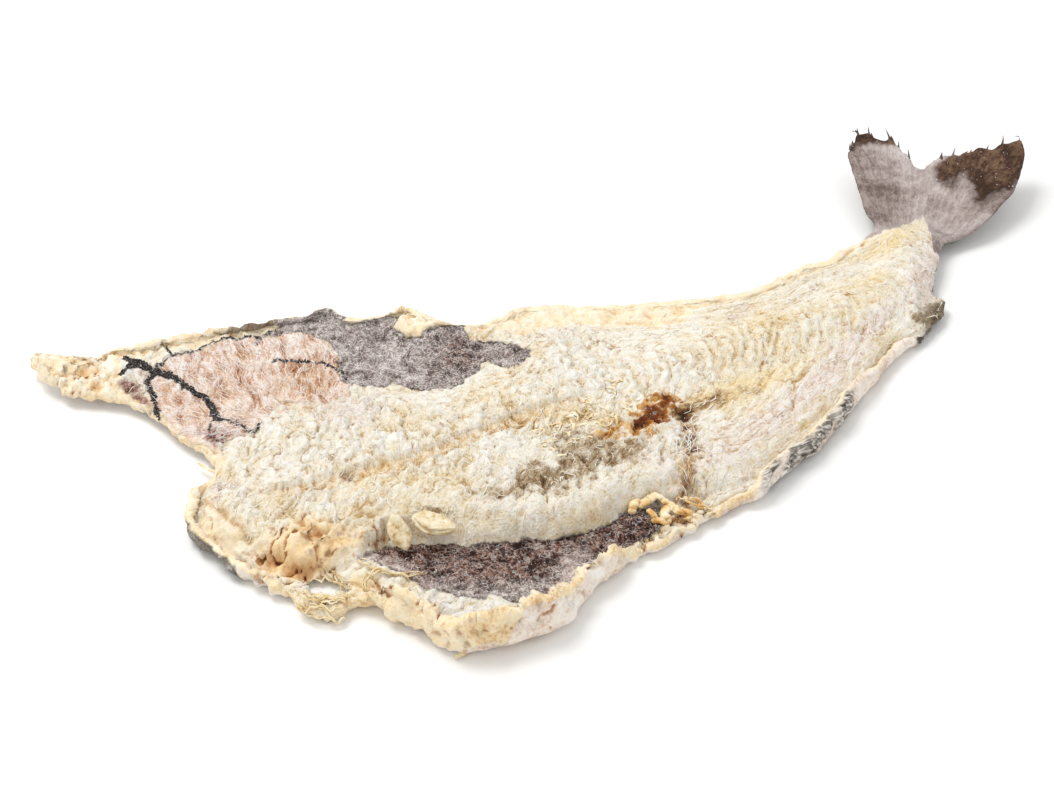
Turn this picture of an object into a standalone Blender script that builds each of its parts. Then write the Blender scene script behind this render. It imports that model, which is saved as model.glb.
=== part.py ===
"""A whole salted dried cod, headed, split open along the belly and lying flesh side up.

The fish is one closed solid. Its skin is the reference surface: it lies flat on the table under the
loins, lifts towards the belly flaps and the tail, and curls up and over along the rims. The flesh
stands on the skin, thick in the two loins, thin in the flaps and thinnest in the tail fin. Two bean
shaped knobs of gristle lie loose in the crook between the right loin and its flap.

Plan sizes are millimetres: x runs from the nape to the tail, y to the fish's left flap, and the cut
where the backbone lay starts near y = 0.
"""

import math

import bpy
import numpy as np
from mathutils import Matrix, Vector
from mathutils.bvhtree import BVHTree
from mathutils.geometry import delaunay_2d_cdt
from mathutils.kdtree import KDTree

MM = 0.001

# Driving dimensions, in millimetres.
FLAP_THICK = 4.5  # belly wall with its lining
RIM_THICK = 5.5  # lips of the flaps and of the tail
LEAST_FLESH = 3.2  # at the bottom of a slit
FIN_THICK = 2.0  # tail fin, rays and web
GROOVE_DEPTH = 6.0  # cut left by the backbone
GROOVE_HALF = 8.0
TAIL_RIDGE = 3.5  # ridge of small flakes along the tail
RIDGE_HALF = 26.0
TAIL_START = 240.0  # distance from the nape at which the groove gives way to the ridge
TAIL_BLEND = 60.0
TAIL_LIFT = 6.0  # the tail's end leaves the table by this much
LIFT_START = 440.0
LIFT_BLEND = 80.0
FLAT_SHARE = 0.4  # share of each side, from the backbone outwards, that lies flat on the table
FIN_LIFT = 7.0  # height of the fin's root
FIN_RISE = 19.0  # height that the fin gains from its root to its tips
FIN_LENGTH = 105.0  # root to tips
FIN_BEND = 1.2  # how much more the fin climbs towards its tips
FIN_CUP = 0.0008  # rise of the fin's sides, per millimetre squared from its middle
FIN_BLEND = 26.0  # length over which the tail's flesh gives way to the fin
LIP_BLEND = 6.0  # length over which thick flesh thins to a lip as the rim begins to bend

# The solid's make-up, in millimetres.
FIELD_STEP = 2.5  # spacing of the grid that the form is worked out on
EDGE_STEP = 6.5  # spacing of corners along the outline
MESH_STEP = 11.0  # spacing of corners inside
LEAST_STEP = 3.9  # least spacing between rings of corners
RING_INSETS = (2.2, 6.5, 11.5, 17.0, 23.0, 29.0, 35.0, 41.0)  # rings of corners inside the outline

# Thickness of the loins over the skin, by distance from the nape.
LOIN_THICK = ((0, 16), (40, 19), (100, 23), (200, 22), (260, 18), (330, 15), (420, 13), (480, 11), (530, 6))

# The outline, anticlockwise from the tip of the left flap. Each stretch is a cut or torn edge with its
# own way of lying: its name, how far it lifts off the table, the radius and the angle it bends up by,
# and how far it stands on beyond the bend.
OUTLINE = (
    ("left_flap_tip", 7, 4, 60, 0, ((-11, 197), (-22, 206), (-31, 206), (-34, 191), (-29, 173), (-20, 157))),
    ("left_flap_front", 5, 3, 50, 0, ((-8, 147), (7, 131), (14, 111), (17, 91))),
    ("neck_notch", 4, 4, 50, 0, ((23, 74), (25, 58), (20, 50))),
    (
        "neck_lip", 1, 7, 110, 2,
        ((12, 44), (1, 36), (-7, 20), (-7, 4), (-4, -12), (1, -30), (8, -44), (14, -54)),
    ),
    ("collar_strand", 2, 3, 40, 0, ((19, -68), (24, -83), (35, -88), (45, -86))),
    ("right_flap_front", 0, 8, 95, 15, ((54, -90), (59, -99), (64, -111), (67, -124), (72, -137))),
    ("right_flap_corner", 0, 9, 98, 19, ((80, -146), (92, -151), (106, -153), (120, -155), (131, -154))),
    ("right_flap_rim", 0, 8, 95, 14, ((143, -149), (155, -141), (168, -136), (179, -128))),
    ("right_flap_rear", 0, 5, 90, 4, ((192, -127), (205, -127), (218, -127), (231, -124), (244, -121))),
    ("right_vent", 1, 5, 80, 2, ((256, -121), (270, -119))),
    ("tail_right_rim", 0, 7, 108, 9, ((286, -117), (316, -107), (348, -96), (378, -79), (395, -70))),
    ("tail_right_end", 1, 6, 100, 4, ((412, -61), (430, -52), (446, -47))),
    ("tail_fold", 3, 4, 60, 0, ((458, -46), (473, -39), (485, -32), (494, -24), (493, -12), (505, 1))),
    ("peduncle_right", 7, 3, 30, 0, ((515, 11), (524, 21), (535, 28))),
    ("fin_right_margin", 0, 0, 0, 0, ((551, 29), (568, 31), (585, 37), (602, 44), (619, 57), (634, 73))),
    ("fin_right_tips", 0, 0, 0, 0, ((640, 88), (628, 88), (614, 93), (601, 98), (589, 102))),
    ("fin_fork", 0, 0, 0, 0, ((580, 102), (565, 98), (567, 111))),
    ("fin_left_tips", 0, 0, 0, 0, ((569, 122), (571, 137), (560, 142), (549, 157), (541, 148))),
    ("fin_left_margin", 0, 0, 0, 0, ((530, 135), (522, 117), (514, 99), (507, 82))),
    ("peduncle_left", 6, 4, 50, 0, ((503, 68), (488, 62))),
    (
        "tail_left_rim", 3, 7, 100, 3,
        ((468, 56), (450, 51), (432, 54), (400, 47), (380, 48), (350, 58), (320, 70)),
    ),
    ("tail_left_front", 4, 8, 100, 3, ((293, 80), (272, 92), (250, 101), (237, 99))),
    ("left_vent", 7, 5, 70, 0, ((225, 101), (213, 106))),
    ("left_flap_rear", 9, 6, 85, 2, ((203, 114), (197, 123), (189, 136), (176, 137), (162, 137))),
    (
        "left_flap_rim", 10, 6, 95, 3,
        ((151, 146), (144, 156), (125, 156), (106, 160), (82, 167), (57, 172), (33, 178)),
    ),
    ("left_flap_root", 8, 5, 70, 1, ((17, 187), (4, 186))),
)

# The hole torn between the collar strand and the flesh.
COLLAR_HOLE = ((31, -58), (31, -67), (39, -73), (48, -73), (50, -66), (41, -57))

# The line of the backbone, from the nape to the root of the tail fin.
MIDLINE = ((0, 16), (70, -2), (120, -9), (190, -6), (270, -8), (345, -6), (435, -8), (480, 5), (520, 44))
FIN_ROOT = (512, 42)
FIN_WAY = (0.62, 0.785)  # direction from the root to the fork

# Where the thick flesh of the loins and the tail ends, anticlockwise from the left of the nape: the
# width over which the flesh falls away to the flap, narrow where the belly was cut free, and points.
LOIN_EDGE = (
    ("left_front", 66, ((24, 44), (36, 68), (52, 92), (72, 88), (92, 84))),
    ("left_middle", 64, ((112, 78), (130, 82))),
    ("left_cut", 54, ((144, 72), (160, 58), (184, 52), (206, 56))),
    (
        "left_tail", 46,
        ((226, 64), (246, 84), (276, 80), (300, 64), (335, 48), (385, 36), (440, 40), (480, 46)),
    ),
    ("tail_root", 12, ((512, 58), (532, 56), (538, 42), (528, 30))),
    ("right_tail", 22, ((510, 12), (480, -14), (440, -38), (400, -54), (350, -76), (300, -96), (268, -104))),
    ("right_cut", 9, ((240, -94), (218, -88), (193, -92), (167, -91), (146, -80))),
    ("right_slope", 24, ((128, -70), (109, -55), (90, -48), (74, -49))),
    ("collar", 12, ((58, -54), (44, -50), (28, -44), (18, -32), (9, -12), (5, 10), (10, 30))),
)

# How the edge of the thick flesh falls away: it starts this share of the width outside the line, and
# the solid has corners along lines at these shares inside it.
FALL_OUTSIDE = 0.25
ROUND_WIDTH = 26.0  # a fall up to this wide is a round shoulder
SLOPE_WIDTH = 36.0  # and from this width on it is a gentle slope
FALL_SHARES = (-0.25, 0.15, 0.55)

# Lumps of crumpled flesh: name, place, half-width and height.
LUMPS = (
    ("left_tip_lobe", (-20, 186), 16, 4),
    ("left_front_lobe", (2, 160), 14, 2),
    ("collar_crumple", (44, -34), 15, 4),
    ("collar_shoulder", (62, -62), 10, 4),
)

# Slits: name, depth, half-width and line.
SLITS = (
    ("lip_crease", 7, 6, ((10, 28), (9, 8), (13, -14), (22, -34), (30, -46))),
    ("vent_slit", 6, 6, ((282, -20), (278, -50), (270, -84), (250, -106))),
)

# Knobs of gristle: name, plan place, half length, half width, half height, heading and pitch in degrees.
KNOBS = (
    ("collar_knob_large", (107, -61.5), 13.0, 7.5, 6.0, -44.0, -8.0),
    ("collar_knob_small", (87, -56), 10.5, 7.5, 6.0, 90.0, 40.0),
)
KNOB_RINGS = 9
KNOB_SIDES = 16
KNOB_DENT = 0.18  # hollow of a knob's flank, as a share of its half width
KNOB_BOW = 0.12  # bow along a knob, as a share of its half width
KNOB_START = 40.0  # height over the table that the knobs are lowered from
KNOB_GAP = 0.5  # clearance round each knob


def smooth_steps(value):
    """0 below 0, 1 above 1, and an S between them."""
    t = np.clip(value, 0.0, 1.0)
    return t * t * (3.0 - 2.0 * t)


def bell(distance, half):
    """1 on a line or point, falling to nothing at about twice the half-width."""
    return np.exp(-((distance / half) ** 2))


def curve_through(rows, spacing, closed):
    """Rows of (x, y, more...) joined by a Catmull-Rom curve, sampled about every spacing of x and y."""
    rows = np.asarray(rows, float)
    if closed:
        before, after, end = np.roll(rows, 1, 0), np.roll(rows, -1, 0), np.roll(rows, -2, 0)
        spans = len(rows)
    else:
        before = np.vstack([2 * rows[0] - rows[1], rows[:-1]])
        after = np.vstack([rows[1:], rows[-1]])
        end = np.vstack([rows[2:], 2 * rows[-1] - rows[-2], rows[-1]])
        spans = len(rows) - 1
    samples = []
    for i in range(spans):
        p, q, r, s = before[i], rows[i], after[i], end[i]
        steps = max(1, round(math.dist(q[:2], r[:2]) / spacing))
        t = (np.arange(steps) / steps)[:, None]
        samples.append(
            0.5 * (2 * q + (r - p) * t + (2 * p - 5 * q + 4 * r - s) * t**2 + (3 * q - p - 3 * r + s) * t**3)
        )
    if not closed:
        samples.append(rows[-1:])
    return np.vstack(samples)


def outward(line):
    """Unit normals that point out of an anticlockwise closed line, averaged over a few samples."""
    tangent = sum(np.roll(line[:, :2], -k, 0) - np.roll(line[:, :2], k, 0) for k in (1, 2, 3))
    normal = np.stack([tangent[:, 1], -tangent[:, 0]], 1)
    return normal / np.linalg.norm(normal, axis=1, keepdims=True)


def averaged(values, reach):
    """Running mean along a closed line."""
    return np.mean([np.roll(values, k) for k in range(-reach, reach + 1)], axis=0)


def rim_line(spacing):
    """The outline with its bent strip laid flat.

    Rows of x, y, lift, bend radius, bend angle, stand, and the way outward that the strip was laid by.
    """
    rows = []
    for _, lift, radius, degrees, stand, points in OUTLINE:
        rows += [(x, y, lift, radius, math.radians(degrees), stand) for x, y in points]
    line = curve_through(rows, spacing, closed=True)
    for column in (2, 3, 4, 5):
        line[:, column] = np.maximum(averaged(line[:, column], 6), 0.0)
    way = outward(line)
    way = np.stack([averaged(way[:, 0], 9), averaged(way[:, 1], 9)], 1)
    way /= np.linalg.norm(way, axis=1, keepdims=True)
    radius, angle, stand = line[:, 3], line[:, 4], line[:, 5]
    reach = np.where(angle < math.pi / 2, radius * np.sin(angle) + stand * np.cos(angle), radius)
    line[:, :2] += way * (radius * angle + stand - reach)[:, None]
    return np.hstack([line, way])


def nearest(line, points):
    """For each point, the distance to the line's samples and the index of the nearest one."""
    tree = KDTree(len(line))
    for i, (x, y) in enumerate(line[:, :2]):
        tree.insert((x, y, 0.0), i)
    tree.balance()
    found = [tree.find((x, y, 0.0)) for x, y in points]
    return np.array([f[2] for f in found]), np.array([f[1] for f in found])


def inside(line, points):
    """True for the points inside a closed line, by counting the sides that a level ray crosses."""
    x, y = points[:, 0], points[:, 1]
    result = np.zeros(len(points), bool)
    ends = np.roll(line, -1, 0)
    for (x0, y0), (x1, y1) in zip(line[:, :2], ends[:, :2]):
        if y0 == y1:
            continue
        crosses = (y0 > y) != (y1 > y)
        result ^= crosses & (x < x0 + (y - y0) * (x1 - x0) / (y1 - y0))
    return result


def line_distance(points, line, spacing=2.0):
    """Distance from each point to an open curve through the line's points."""
    reach = np.full(len(points), np.inf)
    for x, y in curve_through(line, spacing, closed=False):
        reach = np.minimum(reach, (points[:, 0] - x) ** 2 + (points[:, 1] - y) ** 2)
    return np.sqrt(reach)


def blurred(field, passes):
    """The field smoothed by a small kernel, passes times, its border repeated."""
    for _ in range(passes):
        wide = np.pad(field, 1, mode="edge")
        field = 0.25 * wide[:-2, 1:-1] + 0.5 * field + 0.25 * wide[2:, 1:-1]
        wide = np.pad(field, 1, mode="edge")
        field = 0.25 * wide[1:-1, :-2] + 0.5 * field + 0.25 * wide[1:-1, 2:]
    return field


def loin_line():
    """Rows of x, y and width along the edge of the thick flesh."""
    rows = []
    for _, width, corners in LOIN_EDGE:
        rows += [(x, y, width) for x, y in corners]
    return curve_through(rows, 3.0, closed=True)


def flesh_over_skin(points, depth):
    """Flesh over the skin: loins and tail on the flap's thickness, slit along the back and at the vent."""
    edge = loin_line()
    reach, index = nearest(edge, points)
    reach = np.where(inside(edge, points), reach, -reach)
    width = edge[index, 2]
    fall = np.clip(reach / width + FALL_OUTSIDE, 0.0, 1.0)
    gentle = smooth_steps((width - ROUND_WIDTH) / (SLOPE_WIDTH - ROUND_WIDTH))
    fall = np.sqrt(1 - (1 - fall) ** 2) * (1 - gentle) + smooth_steps(fall) * gentle
    along = np.array(LOIN_THICK, float)
    crest = np.interp(points[:, 0], along[:, 0], along[:, 1])
    middle = line_distance(points, MIDLINE)
    tail = smooth_steps((points[:, 0] - TAIL_START) / TAIL_BLEND)
    crest = crest - GROOVE_DEPTH * (1 - tail) * bell(middle, GROOVE_HALF)
    crest = crest + TAIL_RIDGE * tail * bell(middle, RIDGE_HALF)
    rim = FLAP_THICK + (RIM_THICK - FLAP_THICK) * bell(depth, RIM_THICK)
    flesh = rim + (crest - rim) * fall
    for _, cut, half, line in SLITS:
        flesh = flesh - cut * bell(line_distance(points, line), half)
    for _, place, half, height in LUMPS:
        flesh = flesh + height * bell(np.linalg.norm(points - place, axis=1), half)
    return np.maximum(flesh, LEAST_FLESH)


class Form:
    """The form on a square grid: the place of the skin, its normal, and the flesh over it."""

    def __init__(self):
        self.rim = rim_line(1.5)
        self.low = self.rim[:, :2].min(0) - 15.0
        high = self.rim[:, :2].max(0) + 15.0
        grid_x, grid_y = np.meshgrid(
            np.arange(self.low[0], high[0], FIELD_STEP), np.arange(self.low[1], high[1], FIELD_STEP)
        )
        shape = grid_x.shape
        points = np.stack([grid_x.ravel(), grid_y.ravel()], 1)
        depth, index = nearest(self.rim, points)
        depth = np.where(inside(self.rim, points), depth, -depth)
        lift, radius, angle, stand, way_x, way_y = self.rim[index, 2:].T

        def field(values, passes):
            return blurred(values.reshape(shape), passes)

        # The fin is a sheet that climbs from the root of the tail and is cupped a little.
        away = points - np.array(FIN_ROOT)
        along = away @ np.array(FIN_WAY)
        aside = away @ np.array((-FIN_WAY[1], FIN_WAY[0]))
        fin = smooth_steps(along / FIN_BLEND)
        climb = FIN_LIFT + FIN_RISE * np.maximum(along / FIN_LENGTH, 0.0) ** FIN_BEND + FIN_CUP * aside**2
        # Elsewhere the skin lifts from the middle of each side out to the rim.
        middle = line_distance(points, MIDLINE)
        across = middle / np.maximum(middle + np.maximum(depth, 0.0), 1e-6)
        rise = lift * smooth_steps((across - FLAT_SHARE) / (1 - FLAT_SHARE))
        rise = np.maximum(rise, TAIL_LIFT * smooth_steps((points[:, 0] - LIFT_START) / LIFT_BLEND))
        rise = rise * (1 - fin) + climb * fin

        # The rim bends up round an arc and then stands straight on.
        width = radius * angle + stand
        past = np.maximum(width - depth, 0.0)
        safe = np.maximum(radius, 0.5)
        turn = np.minimum(past / safe, angle)
        beyond = np.maximum(past - safe * angle, 0.0)
        curled = radius > 0.5
        sideways = (safe * np.sin(turn) + beyond * np.cos(angle) - past) * curled
        upwards = (safe * (1 - np.cos(turn)) + beyond * np.sin(angle)) * curled

        self.place = np.stack(
            [
                grid_x + field(way_x * sideways, 1),
                grid_y + field(way_y * sideways, 1),
                field(rise, 8) + field(upwards, 1),
            ],
            -1,
        )
        normal = np.cross(np.gradient(self.place, axis=1), np.gradient(self.place, axis=0))
        self.normal = normal / np.linalg.norm(normal, axis=2, keepdims=True)
        flesh = flesh_over_skin(points, depth)
        bent = smooth_steps(past / LIP_BLEND) * curled
        flesh = flesh + (np.minimum(flesh, RIM_THICK) - flesh) * bent
        self.flesh = field(flesh * (1 - fin) + FIN_THICK * fin, 1)
        self.curl = width.reshape(shape)

    def sample(self, field, points):
        """The field at each point, by bilinear interpolation."""
        at = (points - self.low) / FIELD_STEP
        col = np.clip(at[:, 0].astype(int), 0, field.shape[1] - 2)
        row = np.clip(at[:, 1].astype(int), 0, field.shape[0] - 2)
        u, v = at[:, 0] - col, at[:, 1] - row
        if field.ndim == 3:
            u, v = u[:, None], v[:, None]
        return (
            field[row, col] * (1 - u) * (1 - v)
            + field[row, col + 1] * u * (1 - v)
            + field[row + 1, col] * (1 - u) * v
            + field[row + 1, col + 1] * u * v
        )


def spread(line, step):
    """Samples of a closed line about one step apart."""
    closed = np.vstack([line, line[:1]])
    around = np.r_[0.0, np.cumsum(np.linalg.norm(np.diff(closed[:, :2], axis=0), axis=1))]
    count = max(8, round(around[-1] / step))
    where = np.arange(count) * around[-1] / count
    return np.stack([np.interp(where, around, closed[:, c]) for c in range(line.shape[1])], 1)


def thinned(points, gap):
    """The points in order, without those nearer than gap to one already kept."""
    kept = np.empty((0, 2))
    for point in points:
        if len(kept) == 0 or np.min(np.sum((kept - point) ** 2, axis=1)) >= gap * gap:
            kept = np.vstack([kept, point])
    return kept


def inner_points(form, hole):
    """Corners inside the outline: rings along the rims, lines along the loins, a lattice for the rest."""
    found = []
    edge = spread(form.rim, EDGE_STEP)
    curl = edge[:, 3] * edge[:, 4] + edge[:, 5]
    for inset in RING_INSETS:
        ring = (edge[:, :2] - outward(edge) * inset)[inset < np.maximum(curl + LEAST_STEP, EDGE_STEP + 1.0)]
        depth, _ = nearest(form.rim, ring)
        found.append(ring[inside(form.rim, ring) & (depth > 0.93 * inset)])
    loin = spread(loin_line(), 1.1 * EDGE_STEP)
    for share in FALL_SHARES:
        line = loin[:, :2] - outward(loin) * (share * loin[:, 2])[:, None]
        depth, _ = nearest(form.rim, line)
        found.append(line[inside(form.rim, line) & (depth > 1.5 * EDGE_STEP)])
    low, high = form.rim[:, :2].min(0), form.rim[:, :2].max(0)
    rows = []
    for k, y in enumerate(np.arange(low[1], high[1], MESH_STEP * math.sqrt(0.75))):
        x = np.arange(low[0] + (k % 2) * MESH_STEP / 2, high[0], MESH_STEP)
        rows.append(np.stack([x, np.full(len(x), y)], 1))
    lattice = np.vstack(rows)
    lattice = lattice[inside(form.rim, lattice)]
    depth, _ = nearest(form.rim, lattice)
    curl = form.sample(form.curl, lattice)
    lattice = lattice[depth > np.maximum(curl, EDGE_STEP) + 0.5 * MESH_STEP]
    points = thinned(np.vstack(found), LEAST_STEP)
    reach, _ = nearest(points, lattice)
    points = np.vstack([points, lattice[reach > 0.62 * MESH_STEP]])
    reach, _ = nearest(hole, points)
    return points[~inside(hole, points) & (reach > 3.0)]


def sides_of(faces):
    """Each side of the triangles as a pair of corners, and how many triangles use it."""
    pairs = np.sort(faces[:, [0, 1, 1, 2, 2, 0]].reshape(-1, 2), 1)
    return np.unique(pairs, axis=0, return_counts=True)


def plan_triangles(form):
    """Corners and triangles of the plan, with the hole left open, and the loop round the hole."""
    edge = spread(form.rim[:, :2], EDGE_STEP)
    hole = spread(curve_through(COLLAR_HOLE, 2.0, closed=True), 4.5)
    count, ring = len(edge), len(hole)
    bounds = [(i, (i + 1) % count) for i in range(count)]
    bounds += [(count + i, count + (i + 1) % ring) for i in range(ring)]
    inner = inner_points(form, hole)
    while True:
        made = delaunay_2d_cdt([tuple(p) for p in np.vstack([edge, hole, inner])], bounds, [], 0, 1e-6)
        points, faces = np.array([tuple(p) for p in made[0]]), np.array(made[2])
        middle = points[faces].mean(1)
        faces = faces[inside(edge, middle) & ~inside(hole, middle)]
        # A side that crosses a narrow tip from edge to edge gets a corner in its middle.
        sides, uses = sides_of(faces)
        crossing = sides[(uses == 2) & (sides < count + ring).all(1)]
        if len(crossing) == 0:
            break
        inner = np.vstack([inner, points[crossing].mean(1)])
    used, faces = np.unique(faces, return_inverse=True)
    return points[used], faces.reshape(-1, 3), hole


def cod_vertices():
    """Corners in millimetres and triangles of the fish, its top and under side joined at the outline."""
    form = Form()
    points, faces, hole = plan_triangles(form)
    sides, uses = sides_of(faces)
    border = np.unique(sides[uses == 1])
    reach = np.minimum(nearest(form.rim, points)[0], nearest(hole, points)[0])
    reach[border] = 0.0
    skin = form.sample(form.place, points)
    normal = form.sample(form.normal, points)
    normal /= np.linalg.norm(normal, axis=1, keepdims=True)
    flesh = form.sample(form.flesh, points)
    # Rims are rounded: both sides meet half a rim above the skin at the outline.
    half = np.minimum(flesh, RIM_THICK) / 2
    swell = 1 - np.sqrt(1 - (1 - np.clip(reach / half, 0.0, 1.0)) ** 2)
    lower = skin + normal * (half * swell)[:, None]
    upper = skin + normal * (flesh - (flesh - half) * swell)[:, None]
    total = len(points)
    top_index = np.arange(total) + total
    top_index[border] = border
    vertices = np.vstack([lower, upper])
    shell = np.vstack([faces[:, ::-1], top_index[faces]])
    kept, shell = np.unique(shell, return_inverse=True)
    return vertices[kept], shell.reshape(-1, 3)


def knob_vertices(place, half_length, half_width, half_height, heading, pitch, base):
    """A bean: an ellipsoid bent along its length and dented on one flank, set down over the fish."""
    vertices = [(-half_length, 0.0, 0.0)]
    for ring in range(1, KNOB_RINGS):
        t = math.pi * ring / KNOB_RINGS
        x, girth = -half_length * math.cos(t), math.sin(t) ** 0.8
        for side in range(KNOB_SIDES):
            a = 2 * math.pi * side / KNOB_SIDES
            dent = 1 - KNOB_DENT * max(0.0, math.sin(a)) * girth
            vertices.append((x, half_width * girth * math.sin(a) * dent, half_height * girth * math.cos(a)))
    vertices.append((half_length, 0.0, 0.0))
    faces = []
    last = len(vertices) - 1
    for side in range(KNOB_SIDES):
        after = (side + 1) % KNOB_SIDES
        faces.append((0, 1 + side, 1 + after))
        faces.append((last, last - KNOB_SIDES + after, last - KNOB_SIDES + side))
        for ring in range(KNOB_RINGS - 2):
            a, b = 1 + ring * KNOB_SIDES + side, 1 + ring * KNOB_SIDES + after
            faces.append((a, b + KNOB_SIDES, b))
            faces.append((a, a + KNOB_SIDES, b + KNOB_SIDES))
    shape = np.array(vertices)
    shape[:, 1] -= KNOB_BOW * half_width * (shape[:, 0] / half_length) ** 2
    turn = Matrix.Rotation(math.radians(heading), 3, "Z") @ Matrix.Rotation(-math.radians(pitch), 3, "Y")
    turned = shape @ np.array(turn).T + np.array((*place, KNOB_START))
    # The knob comes down over the fish until one more step would close the gap.
    step = np.array((0.0, 0.0, KNOB_GAP / 2))
    while True:
        tree = BVHTree.FromPolygons((turned - step).tolist(), faces)
        clear = min(base.find_nearest(Vector(corner))[3] for corner in turned - step)
        if clear < KNOB_GAP or base.overlap(tree):
            return turned, faces
        turned = turned - step


def matt_material(name, colour, roughness):
    """A plain coloured material."""
    material = bpy.data.materials.new(name)
    material.use_nodes = True
    shader = material.node_tree.nodes["Principled BSDF"]
    shader.inputs["Base Color"].default_value = (*colour, 1.0)
    shader.inputs["Roughness"].default_value = roughness
    return material


def add_solid(name, vertices, faces, centre, material):
    """One object from corners in millimetres, with its own material, shaded smooth."""
    mesh = bpy.data.meshes.new(name)
    corners = (np.asarray(vertices) - centre) * MM
    mesh.from_pydata(corners.tolist(), [], [tuple(int(i) for i in face) for face in faces])
    mesh.materials.append(material)
    mesh.shade_smooth()
    bpy.context.scene.collection.objects.link(bpy.data.objects.new(name, mesh))


def main():
    for obj in list(bpy.data.objects):
        bpy.data.objects.remove(obj)
    vertices, faces = cod_vertices()
    # The box of the fish is centred over the origin and stands on z = 0.
    centre = (vertices.min(0) + vertices.max(0)) / 2
    centre[2] = vertices[:, 2].min()
    add_solid("split_cod", vertices, faces, centre, matt_material("dried_flesh", (0.78, 0.68, 0.48), 0.8))
    base = BVHTree.FromPolygons(vertices.tolist(), faces.tolist())
    for name, place, length, width, height, heading, pitch in KNOBS:
        corners, triangles = knob_vertices(place, length, width, height, heading, pitch, base)
        gristle = matt_material(f"{name}_gristle", (0.75, 0.70, 0.50), 0.6)
        add_solid(name, corners, triangles, centre, gristle)


main()
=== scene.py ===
"""Looks of a whole salted dried cod: headed, split along the belly, salted, dried and laid flesh side up.

Lengths are plan millimetres until a mesh is made: x runs from the nape to the tail, y to the fish's left
flap, and rims that curl up are laid flat in the plan. The fish itself comes first, then what is stuck to
it, lies on it or was torn from it, then the floor, the light and the camera.
"""

import math

import bpy
import numpy as np
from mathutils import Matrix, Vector, noise
from mathutils.bvhtree import BVHTree
from mathutils.geometry import delaunay_2d_cdt
from mathutils.kdtree import KDTree


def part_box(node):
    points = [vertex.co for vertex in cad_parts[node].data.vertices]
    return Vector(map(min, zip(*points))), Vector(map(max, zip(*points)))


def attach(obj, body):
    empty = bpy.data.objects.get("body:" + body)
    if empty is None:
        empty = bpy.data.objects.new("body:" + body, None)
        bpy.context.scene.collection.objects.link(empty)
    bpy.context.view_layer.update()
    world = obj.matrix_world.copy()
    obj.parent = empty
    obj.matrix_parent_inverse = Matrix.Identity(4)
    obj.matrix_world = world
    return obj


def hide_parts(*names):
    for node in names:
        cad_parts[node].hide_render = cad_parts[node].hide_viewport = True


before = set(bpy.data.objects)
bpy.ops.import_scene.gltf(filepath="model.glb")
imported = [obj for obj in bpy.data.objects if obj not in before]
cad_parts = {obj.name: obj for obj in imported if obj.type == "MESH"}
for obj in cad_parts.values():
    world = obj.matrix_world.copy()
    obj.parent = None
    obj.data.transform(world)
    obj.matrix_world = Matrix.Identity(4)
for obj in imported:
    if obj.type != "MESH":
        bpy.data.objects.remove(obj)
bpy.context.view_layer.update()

# --- The outline and the lie of the fish ------------------------------------------------------------
# One whole fish, cut round the collar, opened flat and dried: its edge is a knife cut along the belly
# and a torn one at the neck and the vent. The skin dried hard first, so it shrank and curled the rims.

FLAP_THICK = 4.5  # belly wall with its lining
RIM_THICK = 5.5  # lips of the flaps and of the tail
LEAST_FLESH = 3.2  # at the bottom of a slit
FIN_THICK = 2.0  # rays and web
FLAT_SHARE = 0.4  # share of each side, from the backbone outwards, that lies flat
TAIL_LIFT = 6.0  # the tail's end leaves the table by this much
LIFT_START = 440.0
LIFT_BLEND = 80.0
FIN_LIFT = 7.0  # height of the fin's root
FIN_RISE = 19.0  # height gained from the root to the tips
FIN_LENGTH = 105.0  # root to tips
FIN_BEND = 1.2  # how much more it climbs towards its tips
FIN_CUP = 0.0008  # rise of its sides, per millimetre squared from its middle
FIN_BLEND = 26.0  # over which the tail's flesh gives way to the fin
LIP_BLEND = 4.5  # over which thick flesh thins to a lip
FIELD_STEP = 2.5  # spacing of the grid that the skin is worked out on
BARE_END = 432.0  # from here on the tail's right rim has no lip

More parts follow.
